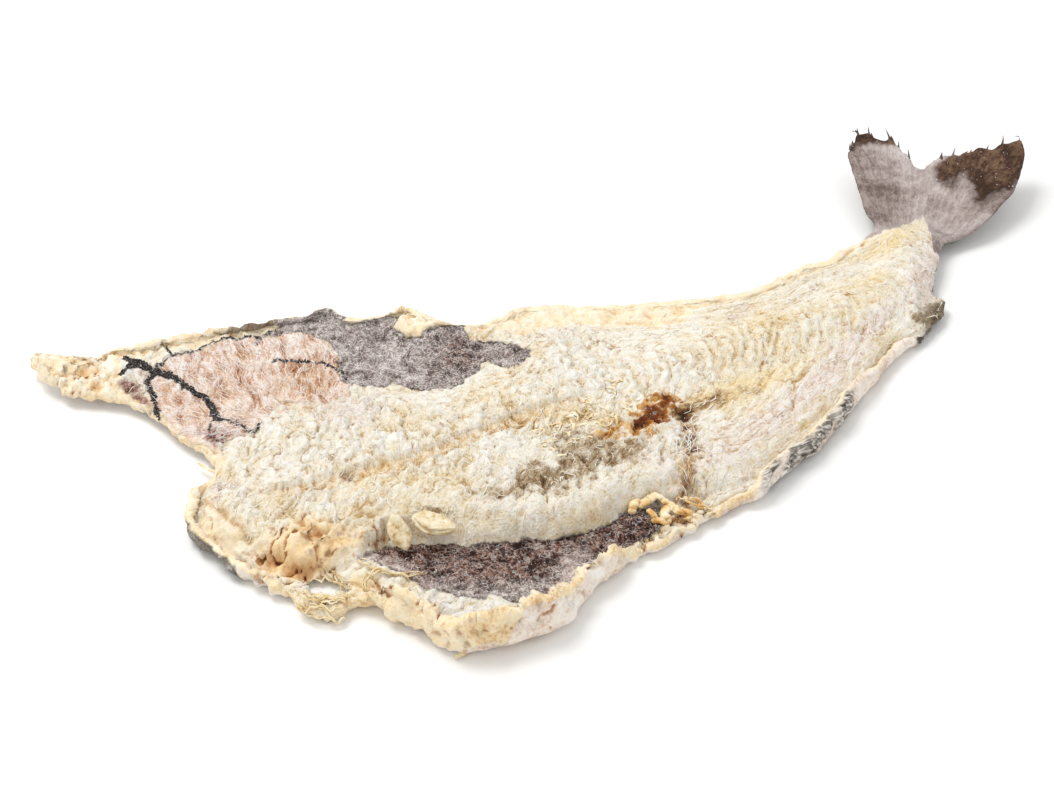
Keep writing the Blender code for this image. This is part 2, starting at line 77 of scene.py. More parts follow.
# Each stretch of the edge, anticlockwise from the tip of the left flap: its name, how far it lifts off
# the table, the radius and angle it curls up by, how far it stands on beyond, how ragged it is, and its
# corners.
OUTLINE = (
    (
        "left_flap_tip", 7, 4, 60, 0, 1.2,
        ((-11, 197), (-22, 206), (-31, 206), (-34, 191), (-29, 173), (-20, 157)),
    ),
    ("left_flap_front", 5, 3, 50, 0, 1.6, ((-8, 147), (7, 131), (14, 111), (17, 91))),
    ("neck_notch", 4, 4, 50, 0, 1.2, ((23, 74), (25, 58), (20, 50))),
    (
        "neck_lip", 1, 7, 110, 2, 1.0,
        ((12, 44), (1, 36), (-7, 20), (-7, 4), (-4, -12), (1, -30), (8, -44), (14, -54)),
    ),
    ("collar_strand", 2, 3, 40, 0, 1.5, ((19, -68), (24, -83), (35, -88), (45, -86))),
    ("right_flap_front", 0, 8, 95, 15, 1.2, ((54, -90), (59, -99), (64, -111), (67, -124), (72, -137))),
    ("right_flap_corner", 0, 9, 98, 19, 1.2, ((80, -146), (92, -151), (106, -153), (120, -155), (131, -154))),
    ("right_flap_rim", 0, 8, 95, 14, 1.2, ((143, -149), (155, -141), (168, -136), (179, -128))),
    ("right_flap_rear", 0, 5, 90, 4, 1.4, ((192, -127), (205, -127), (218, -127), (231, -124), (244, -121))),
    ("right_vent", 1, 5, 80, 2, 1.0, ((256, -121), (270, -119))),
    ("tail_right_rim", 0, 7, 108, 9, 1.0, ((286, -117), (316, -107), (348, -96), (378, -79), (395, -70))),
    ("tail_right_end", 1, 6, 100, 4, 1.5, ((412, -61), (430, -52), (446, -47))),
    ("tail_fold", 3, 4, 60, 0, 2.6, ((458, -46), (473, -39), (485, -32), (494, -24), (493, -12), (505, 1))),
    ("peduncle_right", 7, 3, 30, 0, 1.0, ((515, 11), (524, 21), (535, 28))),
    ("fin_right_margin", 0, 0, 0, 0, 0.6, ((551, 29), (568, 31), (585, 37), (602, 44), (619, 57), (634, 73))),
    ("fin_right_tips", 0, 0, 0, 0, 9.0, ((640, 88), (628, 88), (614, 93), (601, 98), (589, 102))),
    ("fin_fork", 0, 0, 0, 0, 3.0, ((580, 102), (565, 98), (567, 111))),
    ("fin_left_tips", 0, 0, 0, 0, 9.0, ((569, 122), (571, 137), (560, 142), (549, 157), (541, 148))),
    ("fin_left_margin", 0, 0, 0, 0, 1.0, ((530, 135), (522, 117), (514, 99), (507, 82))),
    ("peduncle_left", 6, 4, 50, 0, 1.0, ((503, 68), (488, 62))),
    (
        "tail_left_rim", 5.5, 7, 82, 1, 1.0,
        ((468, 56), (450, 51), (432, 54), (400, 47), (380, 48), (350, 58), (320, 70)),
    ),
    ("tail_left_front", 6.5, 8, 84, 1, 1.4, ((293, 80), (272, 92), (250, 101), (237, 99))),
    ("left_vent", 7, 5, 70, 0, 1.2, ((225, 101), (213, 106))),
    ("left_flap_rear", 9, 6, 85, 2, 1.6, ((203, 114), (197, 123), (189, 136), (176, 137), (162, 137))),
    (
        "left_flap_rim", 10, 6, 95, 3, 1.2,
        ((151, 146), (144, 156), (125, 156), (106, 160), (82, 167), (57, 172), (33, 178)),
    ),
    ("left_flap_root", 8, 5, 70, 1, 1.4, ((17, 187), (4, 186))),
)
# The hole torn beside the collar's strand, the backbone's line, and the fin's root and heading.
COLLAR_HOLE = ((31, -58), (31, -67), (39, -73), (48, -73), (50, -66), (41, -57))
MIDLINE = ((0, 16), (70, -2), (120, -9), (190, -6), (270, -8), (345, -6), (435, -8), (480, 5), (520, 44))
FIN_ROOT = np.array((512.0, 42.0))
FIN_WAY = np.array((0.62, 0.785))
RAY_FAN = 38.0  # how far behind the fin's root its rays would meet


def smooth_steps(value):
    """0 below 0, 1 above 1, and an S between them."""
    t = np.clip(value, 0.0, 1.0)
    return t * t * (3.0 - 2.0 * t)


def bell(distance, half):
    """1 on a line or point, falling to nothing at about twice the half-width."""
    return np.exp(-((distance / half) ** 2))


def curve_through(rows, spacing, closed):
    """Rows of (x, y, more...) joined by a Catmull-Rom curve, sampled about every spacing of x and y."""
    rows = np.asarray(rows, float)
    if closed:
        before, after, end = np.roll(rows, 1, 0), np.roll(rows, -1, 0), np.roll(rows, -2, 0)
        spans = len(rows)
    else:
        before = np.vstack([2 * rows[0] - rows[1], rows[:-1]])
        after = np.vstack([rows[1:], rows[-1]])
        end = np.vstack([rows[2:], 2 * rows[-1] - rows[-2], rows[-1]])
        spans = len(rows) - 1
    samples = []
    for i in range(spans):
        p, q, r, s = before[i], rows[i], after[i], end[i]
        steps = max(1, round(math.dist(q[:2], r[:2]) / spacing))
        t = (np.arange(steps) / steps)[:, None]
        samples.append(
            0.5 * (2 * q + (r - p) * t + (2 * p - 5 * q + 4 * r - s) * t**2 + (3 * q - p - 3 * r + s) * t**3)
        )
    if not closed:
        samples.append(rows[-1:])
    return np.vstack(samples)


def outward(line):
    """Unit normals that point out of an anticlockwise closed line, averaged over a few samples."""
    tangent = sum(np.roll(line[:, :2], -k, 0) - np.roll(line[:, :2], k, 0) for k in (1, 2, 3))
    normal = np.stack([tangent[:, 1], -tangent[:, 0]], 1)
    return normal / np.linalg.norm(normal, axis=1, keepdims=True)


def averaged(values, reach):
    """Running mean along a closed line."""
    return np.mean([np.roll(values, k) for k in range(-reach, reach + 1)], axis=0)


def rim_line(spacing):
    """The outline with its curled strip laid flat.

    Rows of x, y, lift, curl radius, curl angle, stand, raggedness, and the way that the strip was laid by.
    """
    rows = []
    for _, lift, radius, degrees, stand, ragged, points in OUTLINE:
        rows += [(x, y, lift, radius, math.radians(degrees), stand, ragged) for x, y in points]
    line = curve_through(rows, spacing, closed=True)
    for column in (2, 3, 4, 5, 6):
        line[:, column] = np.maximum(averaged(line[:, column], 6), 0.0)
    way = outward(line)
    way = np.stack([averaged(way[:, 0], 9), averaged(way[:, 1], 9)], 1)
    way /= np.linalg.norm(way, axis=1, keepdims=True)
    radius, angle, stand = line[:, 3], line[:, 4], line[:, 5]
    reach = np.where(angle < math.pi / 2, radius * np.sin(angle) + stand * np.cos(angle), radius)
    line[:, :2] += way * (radius * angle + stand - reach)[:, None]
    return np.hstack([line, way])


def nearest(line, points):
    """For each point, the distance to the line's samples and the index of the nearest one."""
    tree = KDTree(len(line))
    for i, (x, y) in enumerate(line[:, :2]):
        tree.insert((x, y, 0.0), i)
    tree.balance()
    found = [tree.find((x, y, 0.0)) for x, y in points]
    return np.array([f[2] for f in found]), np.array([f[1] for f in found])


def inside(line, points):
    """True for the points inside a closed line, by counting the sides that a level ray crosses."""
    x, y = points[:, 0], points[:, 1]
    result = np.zeros(len(points), bool)
    ends = np.roll(line[:, :2], -1, 0)
    for (x0, y0), (x1, y1) in zip(line[:, :2], ends):
        if y0 != y1:
            crosses = (y0 > y) != (y1 > y)
            result ^= crosses & (x < x0 + (y - y0) * (x1 - x0) / (y1 - y0))
    return result


def line_distance(points, line, spacing=2.0):
    """Distance from each point to an open curve through the line's points."""
    reach = np.full(len(points), np.inf)
    for x, y in curve_through(line, spacing, closed=False):
        reach = np.minimum(reach, (points[:, 0] - x) ** 2 + (points[:, 1] - y) ** 2)
    return np.sqrt(reach)


def blurred(field, passes):
    """The field smoothed by a small kernel, passes times, its border repeated."""
    for _ in range(passes):
        wide = np.pad(field, 1, mode="edge")
        field = 0.25 * wide[:-2, 1:-1] + 0.5 * field + 0.25 * wide[2:, 1:-1]
        wide = np.pad(field, 1, mode="edge")
        field = 0.25 * wide[1:-1, :-2] + 0.5 * field + 0.25 * wide[1:-1, 2:]
    return field


RIM = rim_line(1.5)
FIELD_LOW = RIM[:, :2].min(0) - 15.0


def fin_place(points):
    """How far along the fin, how far aside of its middle, and how much of it is fin."""
    away = points - FIN_ROOT
    along = away @ FIN_WAY
    aside = away @ np.array((-FIN_WAY[1], FIN_WAY[0]))
    return along, aside, smooth_steps(along / FIN_BLEND)


def skin_fields():
    """The skin's place and normal on a square grid over the plan."""
    high = RIM[:, :2].max(0) + 15.0
    grid_x, grid_y = np.meshgrid(
        np.arange(FIELD_LOW[0], high[0], FIELD_STEP), np.arange(FIELD_LOW[1], high[1], FIELD_STEP)
    )
    shape = grid_x.shape
    points = np.stack([grid_x.ravel(), grid_y.ravel()], 1)
    depth, index = nearest(RIM, points)
    depth = np.where(inside(RIM, points), depth, -depth)
    lift, radius, angle, stand = RIM[index, 2:6].T
    way_x, way_y = RIM[index, 7:9].T
    along, aside, fin = fin_place(points)
    climb = FIN_LIFT + FIN_RISE * np.maximum(along / FIN_LENGTH, 0.0) ** FIN_BEND + FIN_CUP * aside**2
    middle = line_distance(points, MIDLINE)
    across = middle / np.maximum(middle + np.maximum(depth, 0.0), 1e-6)
    rise = lift * smooth_steps((across - FLAT_SHARE) / (1 - FLAT_SHARE))
    rise = np.maximum(rise, TAIL_LIFT * smooth_steps((points[:, 0] - LIFT_START) / LIFT_BLEND))
    rise = rise * (1 - fin) + climb * fin
    past = np.maximum(radius * angle + stand - depth, 0.0)
    safe = np.maximum(radius, 0.5)
    turn = np.minimum(past / safe, angle)
    beyond = np.maximum(past - safe * angle, 0.0)
    curled = radius > 0.5
    sideways = (safe * np.sin(turn) + beyond * np.cos(angle) - past) * curled
    upwards = (safe * (1 - np.cos(turn)) + beyond * np.sin(angle)) * curled

    def field(values, passes):
        return blurred(values.reshape(shape), passes)

    place = np.stack(
        [
            grid_x + field(way_x * sideways, 1),
            grid_y + field(way_y * sideways, 1),
            field(rise, 8) + field(upwards, 1),
        ],
        -1,
    )
    normal = np.cross(np.gradient(place, axis=1), np.gradient(place, axis=0))
    return place, normal / np.linalg.norm(normal, axis=2, keepdims=True)


SKIN_PLACE, SKIN_NORMAL = skin_fields()


def sampled(field, points):
    """The grid's field at each point, by bilinear interpolation."""
    at = (points - FIELD_LOW) / FIELD_STEP
    col = np.clip(at[:, 0].astype(int), 0, field.shape[1] - 2)
    row = np.clip(at[:, 1].astype(int), 0, field.shape[0] - 2)
    u, v = (at[:, 0] - col)[:, None], (at[:, 1] - row)[:, None]
    return (
        field[row, col] * (1 - u) * (1 - v)
        + field[row, col + 1] * u * (1 - v)
        + field[row + 1, col] * (1 - u) * v
        + field[row + 1, col + 1] * u * v
    )


# --- The flesh side and the skin --------------------------------------------------------------------
# The fish's own body: two loins and the tail of white muscle that dried cream and crumbly, two thin
# belly flaps, and the scaly skin under it all. Salt drew the water out, so flakes and fibres stand up.

MESH_STEP = 1.36  # spacing of corners on the flesh side, on the fin, on the skin side and along the edge
FIN_MESH_STEP = 1.05
UNDER_STEP = 3.0
EDGE_STEP = 1.3
GROOVE_DEPTH = 3.6  # the cut left by the backbone
TAIL_RIDGE = 3.5  # ridge of small flakes along the tail
RIDGE_HALF = 26.0
TAIL_START = 240.0
TAIL_BLEND = 60.0
LOIN_THICK = ((0, 16), (40, 19), (100, 23), (200, 22), (260, 18), (330, 15), (420, 13), (480, 11), (530, 6))
# Where the thick flesh ends, anticlockwise: name, the width it falls away over, and corners.
LOIN_EDGE = (
    ("left_front", 66, ((24, 44), (36, 68), (52, 92), (72, 88), (92, 84))),
    ("left_middle", 64, ((112, 78), (130, 82))),
    ("left_cut", 54, ((144, 72), (160, 58), (184, 52), (206, 56))),
    (
        "left_tail", 46,
        ((226, 64), (246, 84), (276, 80), (300, 64), (335, 48), (385, 36), (440, 40), (480, 46)),
    ),
    ("tail_root", 12, ((512, 58), (532, 56), (538, 42), (528, 30))),
    ("right_tail", 22, ((510, 12), (480, -14), (440, -38), (400, -54), (350, -76), (300, -96), (268, -104))),
    ("right_cut", 15, ((240, -94), (218, -88), (193, -92), (167, -91), (146, -80))),
    ("right_slope", 24, ((128, -70), (109, -55), (90, -48), (74, -49))),
    ("collar", 24, ((58, -54), (44, -50), (28, -44), (18, -32), (9, -12), (5, 10), (10, 30))),
)
FALL_OUTSIDE = 0.25
ROUND_WIDTH = 26.0
SLOPE_WIDTH = 36.0
LUMPS = (
    ("left_tip_lobe", (-20, 186), 16, 4),
    ("left_front_lobe", (2, 160), 14, 2),
    ("collar_crumple", (44, -34), 15, 4),
    ("collar_shoulder", (62, -62), 10, 4),
)
LIP_CREASE = ((10, 30), (12, 14), (14, 0), (16, -14), (18, -28), (22, -40), (30, -47), (40, -52))
VENT_SLIT = ((277, -45), (273, -58), (266, -72), (257, -84), (248, -96), (242, -106))

# The black belly lining: what the cleaning left of it on each flap.
LEFT_MEMBRANE = (
    (93, 150), (93, 147), (110, 147), (125, 142), (132, 131), (134, 120), (131, 106), (127, 97), (127, 88),
    (134, 82), (143, 77), (152, 78), (158, 70), (165, 63), (175, 57), (186, 56), (190, 61), (200, 61),
    (205, 68), (212, 64), (218, 53), (227, 50), (235, 58), (232, 72), (222, 80), (214, 88), (212, 99),
    (216, 110), (204, 118), (192, 129), (180, 131), (176, 137), (165, 139), (154, 137), (152, 143),
    (158, 149), (151, 157), (150, 170), (117, 170), (114, 158), (112, 152), (104, 151),
)
RIGHT_MEMBRANE = (
    (57, -57), (70, -55), (82, -53), (92, -56), (103, -60), (118, -71), (130, -76), (145, -83), (160, -91),
    (180, -95), (200, -94), (212, -91), (222, -88), (232, -90), (229, -97), (226, -108), (215, -115),
    (200, -118), (191, -119), (184, -127), (170, -138), (152, -150), (141, -150), (133, -139), (124, -127),
    (118, -121), (112, -114), (106, -115), (98, -108), (92, -100), (84, -90), (80, -77), (72, -65),
)
PINK_LINING = (
    (23, 148), (34, 158), (60, 159), (92, 156), (100, 149), (126, 143), (134, 130), (135, 112), (129, 100),
    (128, 86), (118, 77), (104, 78), (95, 88), (86, 92), (76, 86), (66, 74), (56, 66), (44, 70), (30, 70),
    (20, 92), (19, 120),
)
# Lines of dried black crust on the left flap: half-width, then the way that each runs.
CRUST_LINES = (
    (
        1.9,
        (
            (20, 171), (25, 165), (30, 156), (37, 148), (41, 138), (43, 128), (47, 118), (47, 108),
            (45, 98), (46, 91),
        ),
    ),
    (1.0, ((48, 92), (51, 84), (53, 74), (55, 66), (61, 69))),
    (1.0, ((33, 157), (45, 159), (60, 159), (75, 159), (90, 156), (98, 152), (108, 151), (112, 156))),
    (1.0, ((44, 160), (45, 170))),
    (1.1, ((97, 127), (108, 122), (118, 116), (124, 110), (129, 102), (128, 94))),
    (1.5, ((12, 160), (20, 164), (26, 160))),
    (1.4, ((33, 152), (25, 150), (22, 140), (20, 128), (17, 118), (13, 112))),
    (0.8, ((44, 96), (36, 88), (34, 78), (38, 70))),
)
# Soft patches over the flesh side: x, y, half-length, half-width, turn in degrees, amount. First where it
# is crumpled and where it dried smooth as glue, then its tints.
CRUMPLED = (
    (36, -40, 28, 22, -20, 1.3), (78, -50, 16, 12, 0, 0.9), (-2, -2, 16, 50, 0, 0.8),
    (70, -118, 30, 40, 0, 0.9),
    (-12, 172, 30, 22, 60, 1.05), (60, 172, 60, 10, -8, 0.8), (180, 142, 60, 9, -18, 0.6),
    (262, -84, 22, 20, 0, 0.5),
    (232, -106, 26, 16, 0, 0.9), (228, -26, 20, 14, 0, 0.6), (475, -26, 24, 16, 20, 0.8),
)
GLAZED = (
    (36, -42, 26, 18, -20, 1.1), (2, -4, 12, 44, 0, 0.9), (86, -146, 36, 14, 0, 0.8),
    (60, -104, 24, 12, 60, 0.8),
    (-18, 178, 26, 20, 60, 0.9), (60, 170, 60, 8, -8, 0.7), (57, -76, 12, 10, 0, 0.9),
    (262, -34, 20, 12, 10, 0.6),
)
YELLOW_TINTS = (
    (-18, 178, 30, 20, 60, 1.0), (60, 168, 60, 9, -8, 0.8), (122, 25, 20, 10, 20, 0.6),
    (196, 25, 5, 14, 0, 0.5),
    (232, 13, 4, 3, 0, 0.8), (243, 8, 4, 3, 0, 0.8), (270, 17, 6, 4, 0, 0.7), (284, 8, 4, 3, 0, 0.8),
    (385, 4, 30, 11, 0, 0.75), (462, 12, 12, 8, 20, 0.9), (505, 46, 36, 16, 30, 0.9),
    (265, 82, 60, 12, -18, 0.9),
    (330, 56, 60, 9, -10, 0.55), (440, 44, 60, 7, 0, 0.6), (304, -42, 34, 11, 4, 1.2),
    (344, -42, 30, 12, 4, 0.7),
    (222, -24, 26, 15, -20, 0.9), (180, -10, 26, 4, 0, 0.7), (40, -36, 24, 18, -20, 0.7),
    (78, -40, 14, 10, 0, 0.5),
    (0, 0, 9, 40, 0, 0.5), (90, -150, 40, 16, 0, 0.6), (220, -112, 30, 10, 0, 0.8), (57, -75, 9, 9, 0, 1.2),
)
BLUSH_TINTS = (
    (108, 52, 24, 30, 60, 0.8), (370, 31, 18, 9, 10, 0.7), (290, -82, 60, 18, 14, 0.7),
    (380, -50, 60, 13, 22, 0.8),
    (440, -20, 40, 10, 25, 0.6), (24, 32, 12, 14, 0, 0.7), (500, 2, 34, 12, 46, 1.3),
    (250, 62, 30, 12, -20, 0.5),
    (235, -66, 14, 20, 0, 0.5), (170, 148, 50, 10, -18, 0.3), (34, 80, 12, 14, 60, 0.8),
)
BROWN_TINTS = (
    (200, 82, 24, 20, 40, 0.9), (236, 66, 14, 12, 0, 0.8), (165, 118, 22, 8, -20, 0.5),
    (100, -70, 36, 15, -20, 1.4), (150, -96, 50, 15, -14, 1.4),
    (205, -104, 30, 13, 0, 1.1), (76, -68, 14, 12, 0, 1.0), (130, -100, 40, 16, -30, 0.8),
)
SOOT_TINTS = (
    (604, 84, 18, 9, 10, 1.2), (622, 72, 18, 16, 50, 1.3), (608, 58, 18, 8, 45, 1.0), (634, 82, 9, 9, 0, 1.2),
    (552, 143, 20, 9, -40, 1.3), (546, 152, 14, 8, 30, 1.2), (568, 124, 9, 6, 110, 0.8),
    (596, 68, 14, 11, 40, 1.1),
    (582, 90, 14, 8, 20, 1.0), (584, 54, 20, 8, 30, 0.75), (572, 76, 12, 8, 60, 0.65),
    (534, 140, 6, 10, 20, 0.7), (508, 84, 5, 14, 25, 0.5), (560, 30, 16, 4, 10, 0.4),
)
# Peach folds of the collar and the flap's front, tan lining, deep brown where cracks and folds kept blood,
# and painted shadow at the foot of the gristle knobs.
PEACH_TINTS = (
    (40, -40, 20, 15, -25, 1.3), (22, -44, 14, 10, -50, 0.9), (62, -48, 12, 8, 0, 0.9), (2, 0, 9, 36, 0, 0.6),
    (88, -146, 34, 13, 0, 0.7), (60, -104, 20, 11, 60, 0.7), (57, -78, 9, 8, 0, 0.9),
    (-16, 184, 16, 9, 60, 0.6),
    (228, -28, 18, 10, -10, 0.6), (205, 24, 10, 4, 0, 0.5), (300, -30, 14, 6, 20, 0.5),
    (330, -44, 8, 5, 0, 0.8),
)
TAN_TINTS = (
    (104, 102, 24, 18, 30, 1.1), (64, 120, 20, 14, 60, 0.6), (40, 104, 14, 16, 0, 0.6),
    (56, 84, 14, 8, 20, 0.7),
    (80, 140, 12, 8, 0, 0.5), (30, 136, 6, 14, 0, 0.6),
)
UMBER_AND_SHADOW_TINTS = (
    # The first three are painted shadow at the foot of the gristle knobs; the rest are stains.
    (112, -52, 13, 2.2, -38, 1.0), (93, -47, 7, 3.0, -30, 0.8), (99, -66, 9, 2.4, -44, 0.9),
    (74, -48, 5, 3.0, 0, 0.6),
    (298, -43, 18, 7.0, 3, 0.95), (279, -46, 8, 6.0, -40, 1.2), (324, -47, 18, 6.0, -4, 0.5),
    (267, -70, 8, 14, -28, 0.6),
    (249, -95, 8, 12, -28, 0.7), (222, -45, 9, 3.0, 10, 0.7), (48, -50, 5, 2.0, 30, 0.8),
    (34, -30, 6, 1.6, -60, 0.6), (58, -34, 5, 1.8, 40, 0.6),
    (216, 9, 8, 1.6, 0, 0.4), (466, -30, 12, 6, 30, 0.9),
)
BRUISE_TINTS = (
    (38, 80, 9, 13, 20, 1.3), (53, 81, 4, 10, 0, 1.0), (14, 132, 5, 20, 5, 1.1), (12, 150, 8, 6, 0, 0.9),
    (82, -6, 6, 10, 0, 0.5), (24, 30, 7, 11, 0, 0.6), (28, 158, 14, 6, -30, 0.6),
)
OLIVE_TINTS = ((98, 168, 20, 4.5, -8, 1.4), (480, -34, 22, 13, 20, 1.4), (-17, 176, 8, 2.5, 60, 0.7))
TINTS = {
    "yellow": YELLOW_TINTS,
    "blush": BLUSH_TINTS,
    "brown": BROWN_TINTS,
    "soot": SOOT_TINTS,
    "peach": PEACH_TINTS,
    "tan": TAN_TINTS,
    "umber_and_shadow": UMBER_AND_SHADOW_TINTS,
    "bruise": BRUISE_TINTS,
    "olive": OLIVE_TINTS,
}
TORN_RIM_PATCH = (
    (175, 122), (178, 112), (184, 105), (190, 108), (205, 106), (213, 108), (206, 121), (199, 130),
    (185, 128),
)
GREY_STAINS = (
    (
        (130, -50), (152, -55), (166, -50), (178, -47), (189, -49), (193, -38), (205, -31), (216, -34),
        (222, -47), (236, -53), (244, -62), (236, -71), (215, -71), (200, -74), (186, -78), (172, -80),
        (163, -70), (150, -71), (140, -64),
    ),
    ((79, 1), (87, 0), (88, -5), (82, -8)),
)
BLOOD_STAIN = ((247, -42), (256, -35), (266, -29), (277, -28), (280, -34), (272, -42), (265, -47), (256, -46))
AMBER_STAIN = (
    (213, -43), (224, -38), (236, -35), (246, -38), (258, -28), (274, -24), (284, -30), (270, -46),
    (252, -56), (236, -49),
)


def scrambled(i, j, seed):
    """A well mixed 32-bit number for each cell of a grid."""
    mixed = (i * 374761393 + j * 668265263 + seed * 974634777) & 0xFFFFFFFF
    mixed = ((mixed ^ (mixed >> 13)) * 1274126177) & 0xFFFFFFFF
    return mixed ^ (mixed >> 16)


def grains(at, size, seed):
    """Smooth random heights, about -1 to 1, with lumps as large as size, in one or two directions."""
    at = at / np.asarray(size, float)
    cell = np.floor(at).astype(np.int64)
    part = at - cell
    fade = part**3 * (part * (part * 6 - 15) + 10)

    def corner(dx, dy):
        angle = scrambled(cell[:, 0] + dx, cell[:, 1] + dy, seed) * (2 * math.pi / 2**32)
        return np.cos(angle) * (part[:, 0] - dx) + np.sin(angle) * (part[:, 1] - dy)

    low = corner(0, 0) + fade[:, 0] * (corner(1, 0) - corner(0, 0))
    high = corner(0, 1) + fade[:, 0] * (corner(1, 1) - corner(0, 1))
    return 1.5 * (low + fade[:, 1] * (high - low))


def drift(at, size, seed):
    """A smooth random shift for each point, both ways about -1 to 1."""
    return np.stack([grains(at, size, seed), grains(at, size, seed + 1)], 1)


def heaps(at, size, seed):
    """Rounded lumps with sharp creases between them, about -1 to 1."""
    return 1.0 - 3.2 * np.abs(grains(at, size, seed))


def cells(at, size, seed, lean=0.0):
    """The random cell that each point lies in: how far it is from the border with the next cell, 0 on it,
    and how high it is on a flake tilted towards lean, from about -0.5 to 0.5."""
    at = at / np.asarray(size, float)
    cell = np.floor(at).astype(np.int64)
    first = np.full(len(at), 9.0)
    second = np.full(len(at), 9.0)
    tilt = np.zeros(len(at))
    for dx in (-1, 0, 1):
        for dy in (-1, 0, 1):
            i, j = cell[:, 0] + dx, cell[:, 1] + dy
            mixed = scrambled(i, j, seed)
            x = at[:, 0] - i - (mixed & 0xFFFF) / 65536
            y = at[:, 1] - j - ((mixed >> 16) & 0xFFFF) / 65536
            way = lean + ((mixed >> 5) & 0xFF) / 128 - 1.0
            reach = np.hypot(x, y)
            closer = reach < first
            second = np.where(closer, first, np.minimum(second, reach))
            tilt = np.where(closer, x * np.cos(way) + y * np.sin(way), tilt)
            first = np.where(closer, reach, first)
    return second - first, tilt


def patches(points, places):
    """Soft patches added up: each is its middle, its half-length and half-width, its turn and its amount."""
    total = np.zeros(len(points))
    for x, y, half_long, half_wide, degrees, amount in places:
        turn = math.radians(degrees)
        away = points - (x, y)
        along = away[:, 0] * math.cos(turn) + away[:, 1] * math.sin(turn)
        aside = away[:, 1] * math.cos(turn) - away[:, 0] * math.sin(turn)
        total += amount * np.exp(-((along / half_long) ** 2) - (aside / half_wide) ** 2)
    return total


def crust_height(points):
    """How thick the dried black crust lies, in millimetres, and the same for the brown stains beside it."""
    crust = np.zeros(len(points))
    near = (points[:, 0] > -5) & (points[:, 0] < 140) & (points[:, 1] > 55) & (points[:, 1] < 185)
    some = points[near] + 1.1 * drift(points[near], 4.0, 121)
    made = np.zeros(len(some))
    for half, line in CRUST_LINES:
        reach = line_distance(some, line, 0.8)
        rough = 1.0 + 0.4 * grains(some, 3.0, 123)
        made = np.maximum(made, smooth_steps(1.5 - reach / (half * rough)) * min(1.0, 0.45 * half))
    crust[near] = made
    return crust


def within(points, loop, rough, seed):
    """Millimetres into a closed shape, less than 0 outside it, its border roughened."""
    far = 14.0
    line = curve_through(loop, 1.5, closed=True)
    low, high = line.min(0) - far, line.max(0) + far
    near = np.all((points > low) & (points < high), axis=1)
    result = np.full(len(points), -far)
    some = points[near]
    wander = drift(some, 9.0, seed) * rough
    wander += drift(some, 3.2, seed + 2) * 0.45 * rough
    some = some + wander
    reach, _ = nearest(line, some)
    result[near] = np.where(inside(line, some), reach, -np.minimum(reach, far))
    return result


def loin_line():
    """Rows of x, y and width along the edge of the thick flesh."""
    rows = []
    for _, width, corners in LOIN_EDGE:
        rows += [(x, y, width) for x, y in corners]
    return curve_through(rows, 0.8, closed=True)


def muscle_place(points):
    """Distance along the backbone's line, and to its left."""
    line = curve_through(MIDLINE, 2.0, closed=False)
    _, index = nearest(line, points)
    tangent = np.gradient(line, axis=0)
    tangent /= np.linalg.norm(tangent, axis=1, keepdims=True)
    run = np.r_[0.0, np.cumsum(np.linalg.norm(np.diff(line, axis=0), axis=1))]
    away = points - line[index]
    along = run[index] + np.sum(away * tangent[index], axis=1)
    left = tangent[index, 0] * away[:, 1] - tangent[index, 1] * away[:, 0]
    return along, left


def ragged_edge():
    """The edge of the sheet: the laid-out outline, nicked and frayed inwards, sampled at about EDGE_STEP."""
    closed = np.vstack([RIM, RIM[:1]])
    run = np.r_[0.0, np.cumsum(np.linalg.norm(np.diff(closed[:, :2], axis=0), axis=1))]
    where = np.arange(0.0, run[-1], 0.4)
    line = np.stack([np.interp(where, run, closed[:, c]) for c in range(closed.shape[1])], 1)
    at = np.stack([where, np.zeros(len(where))], 1)
    ragged = line[:, 6]
    fray = 0.5 + 0.5 * grains(at, 7.0, 3) + 0.35 * grains(at, 2.6, 4)
    # Along the fin's tips the web has broken back between its rays.
    broken = 0.62 + 0.3 * np.clip(1.6 * grains(at, 8.0, 8), -1.0, 1.0)
    tips = smooth_steps((ragged - 4.0) / 4.0)
    cut = ragged * (fray * (1 - tips) + broken * tips) + 0.05
    line = line[:, :2] - outward(line) * np.maximum(cut, 0.05)[:, None]
    keep = [0]
    for i in range(1, len(line)):
        step = EDGE_STEP if tips[i] < 0.5 else 0.75 * EDGE_STEP
        if math.dist(line[i], line[keep[-1]]) >= step and math.dist(line[i], line[0]) >= 0.6 * step:
            keep.append(i)
    return line[keep]


def lattice(low, high, step, seed):
    """Points of a triangular lattice over a box, shaken a little so that it shows no rows."""
    rows = []
    for k, y in enumerate(np.arange(low[1], high[1], step * math.sqrt(0.75))):
        x = np.arange(low[0] + (k % 2) * step / 2, high[0], step)
        rows.append(np.stack([x, np.full(len(x), y)], 1))
    points = np.vstack(rows)
    return points + np.random.default_rng(seed).uniform(-0.14 * step, 0.14 * step, points.shape)


def plan_mesh(edge, hole, inner):
    """Triangles over the plan between its edge and the collar's hole."""
    loops, start = [], 0
    for loop in (edge, hole):
        loops += [(start + i, start + (i + 1) % len(loop)) for i in range(len(loop))]
        start += len(loop)
    made = delaunay_2d_cdt([tuple(p) for p in np.vstack([edge, hole, inner])], loops, [], 0, 1e-7)
    points, faces = np.array([tuple(p) for p in made[0]]), np.array(made[2])
    middle = points[faces].mean(1)
    faces = faces[inside(edge, middle) & ~inside(hole, middle)]
    used, faces = np.unique(faces, return_inverse=True)
    return points[used], faces.reshape(-1, 3)


edge_line = ragged_edge()
hole_line = curve_through(COLLAR_HOLE, EDGE_STEP, closed=True)
both_lines = np.vstack([edge_line, hole_line])


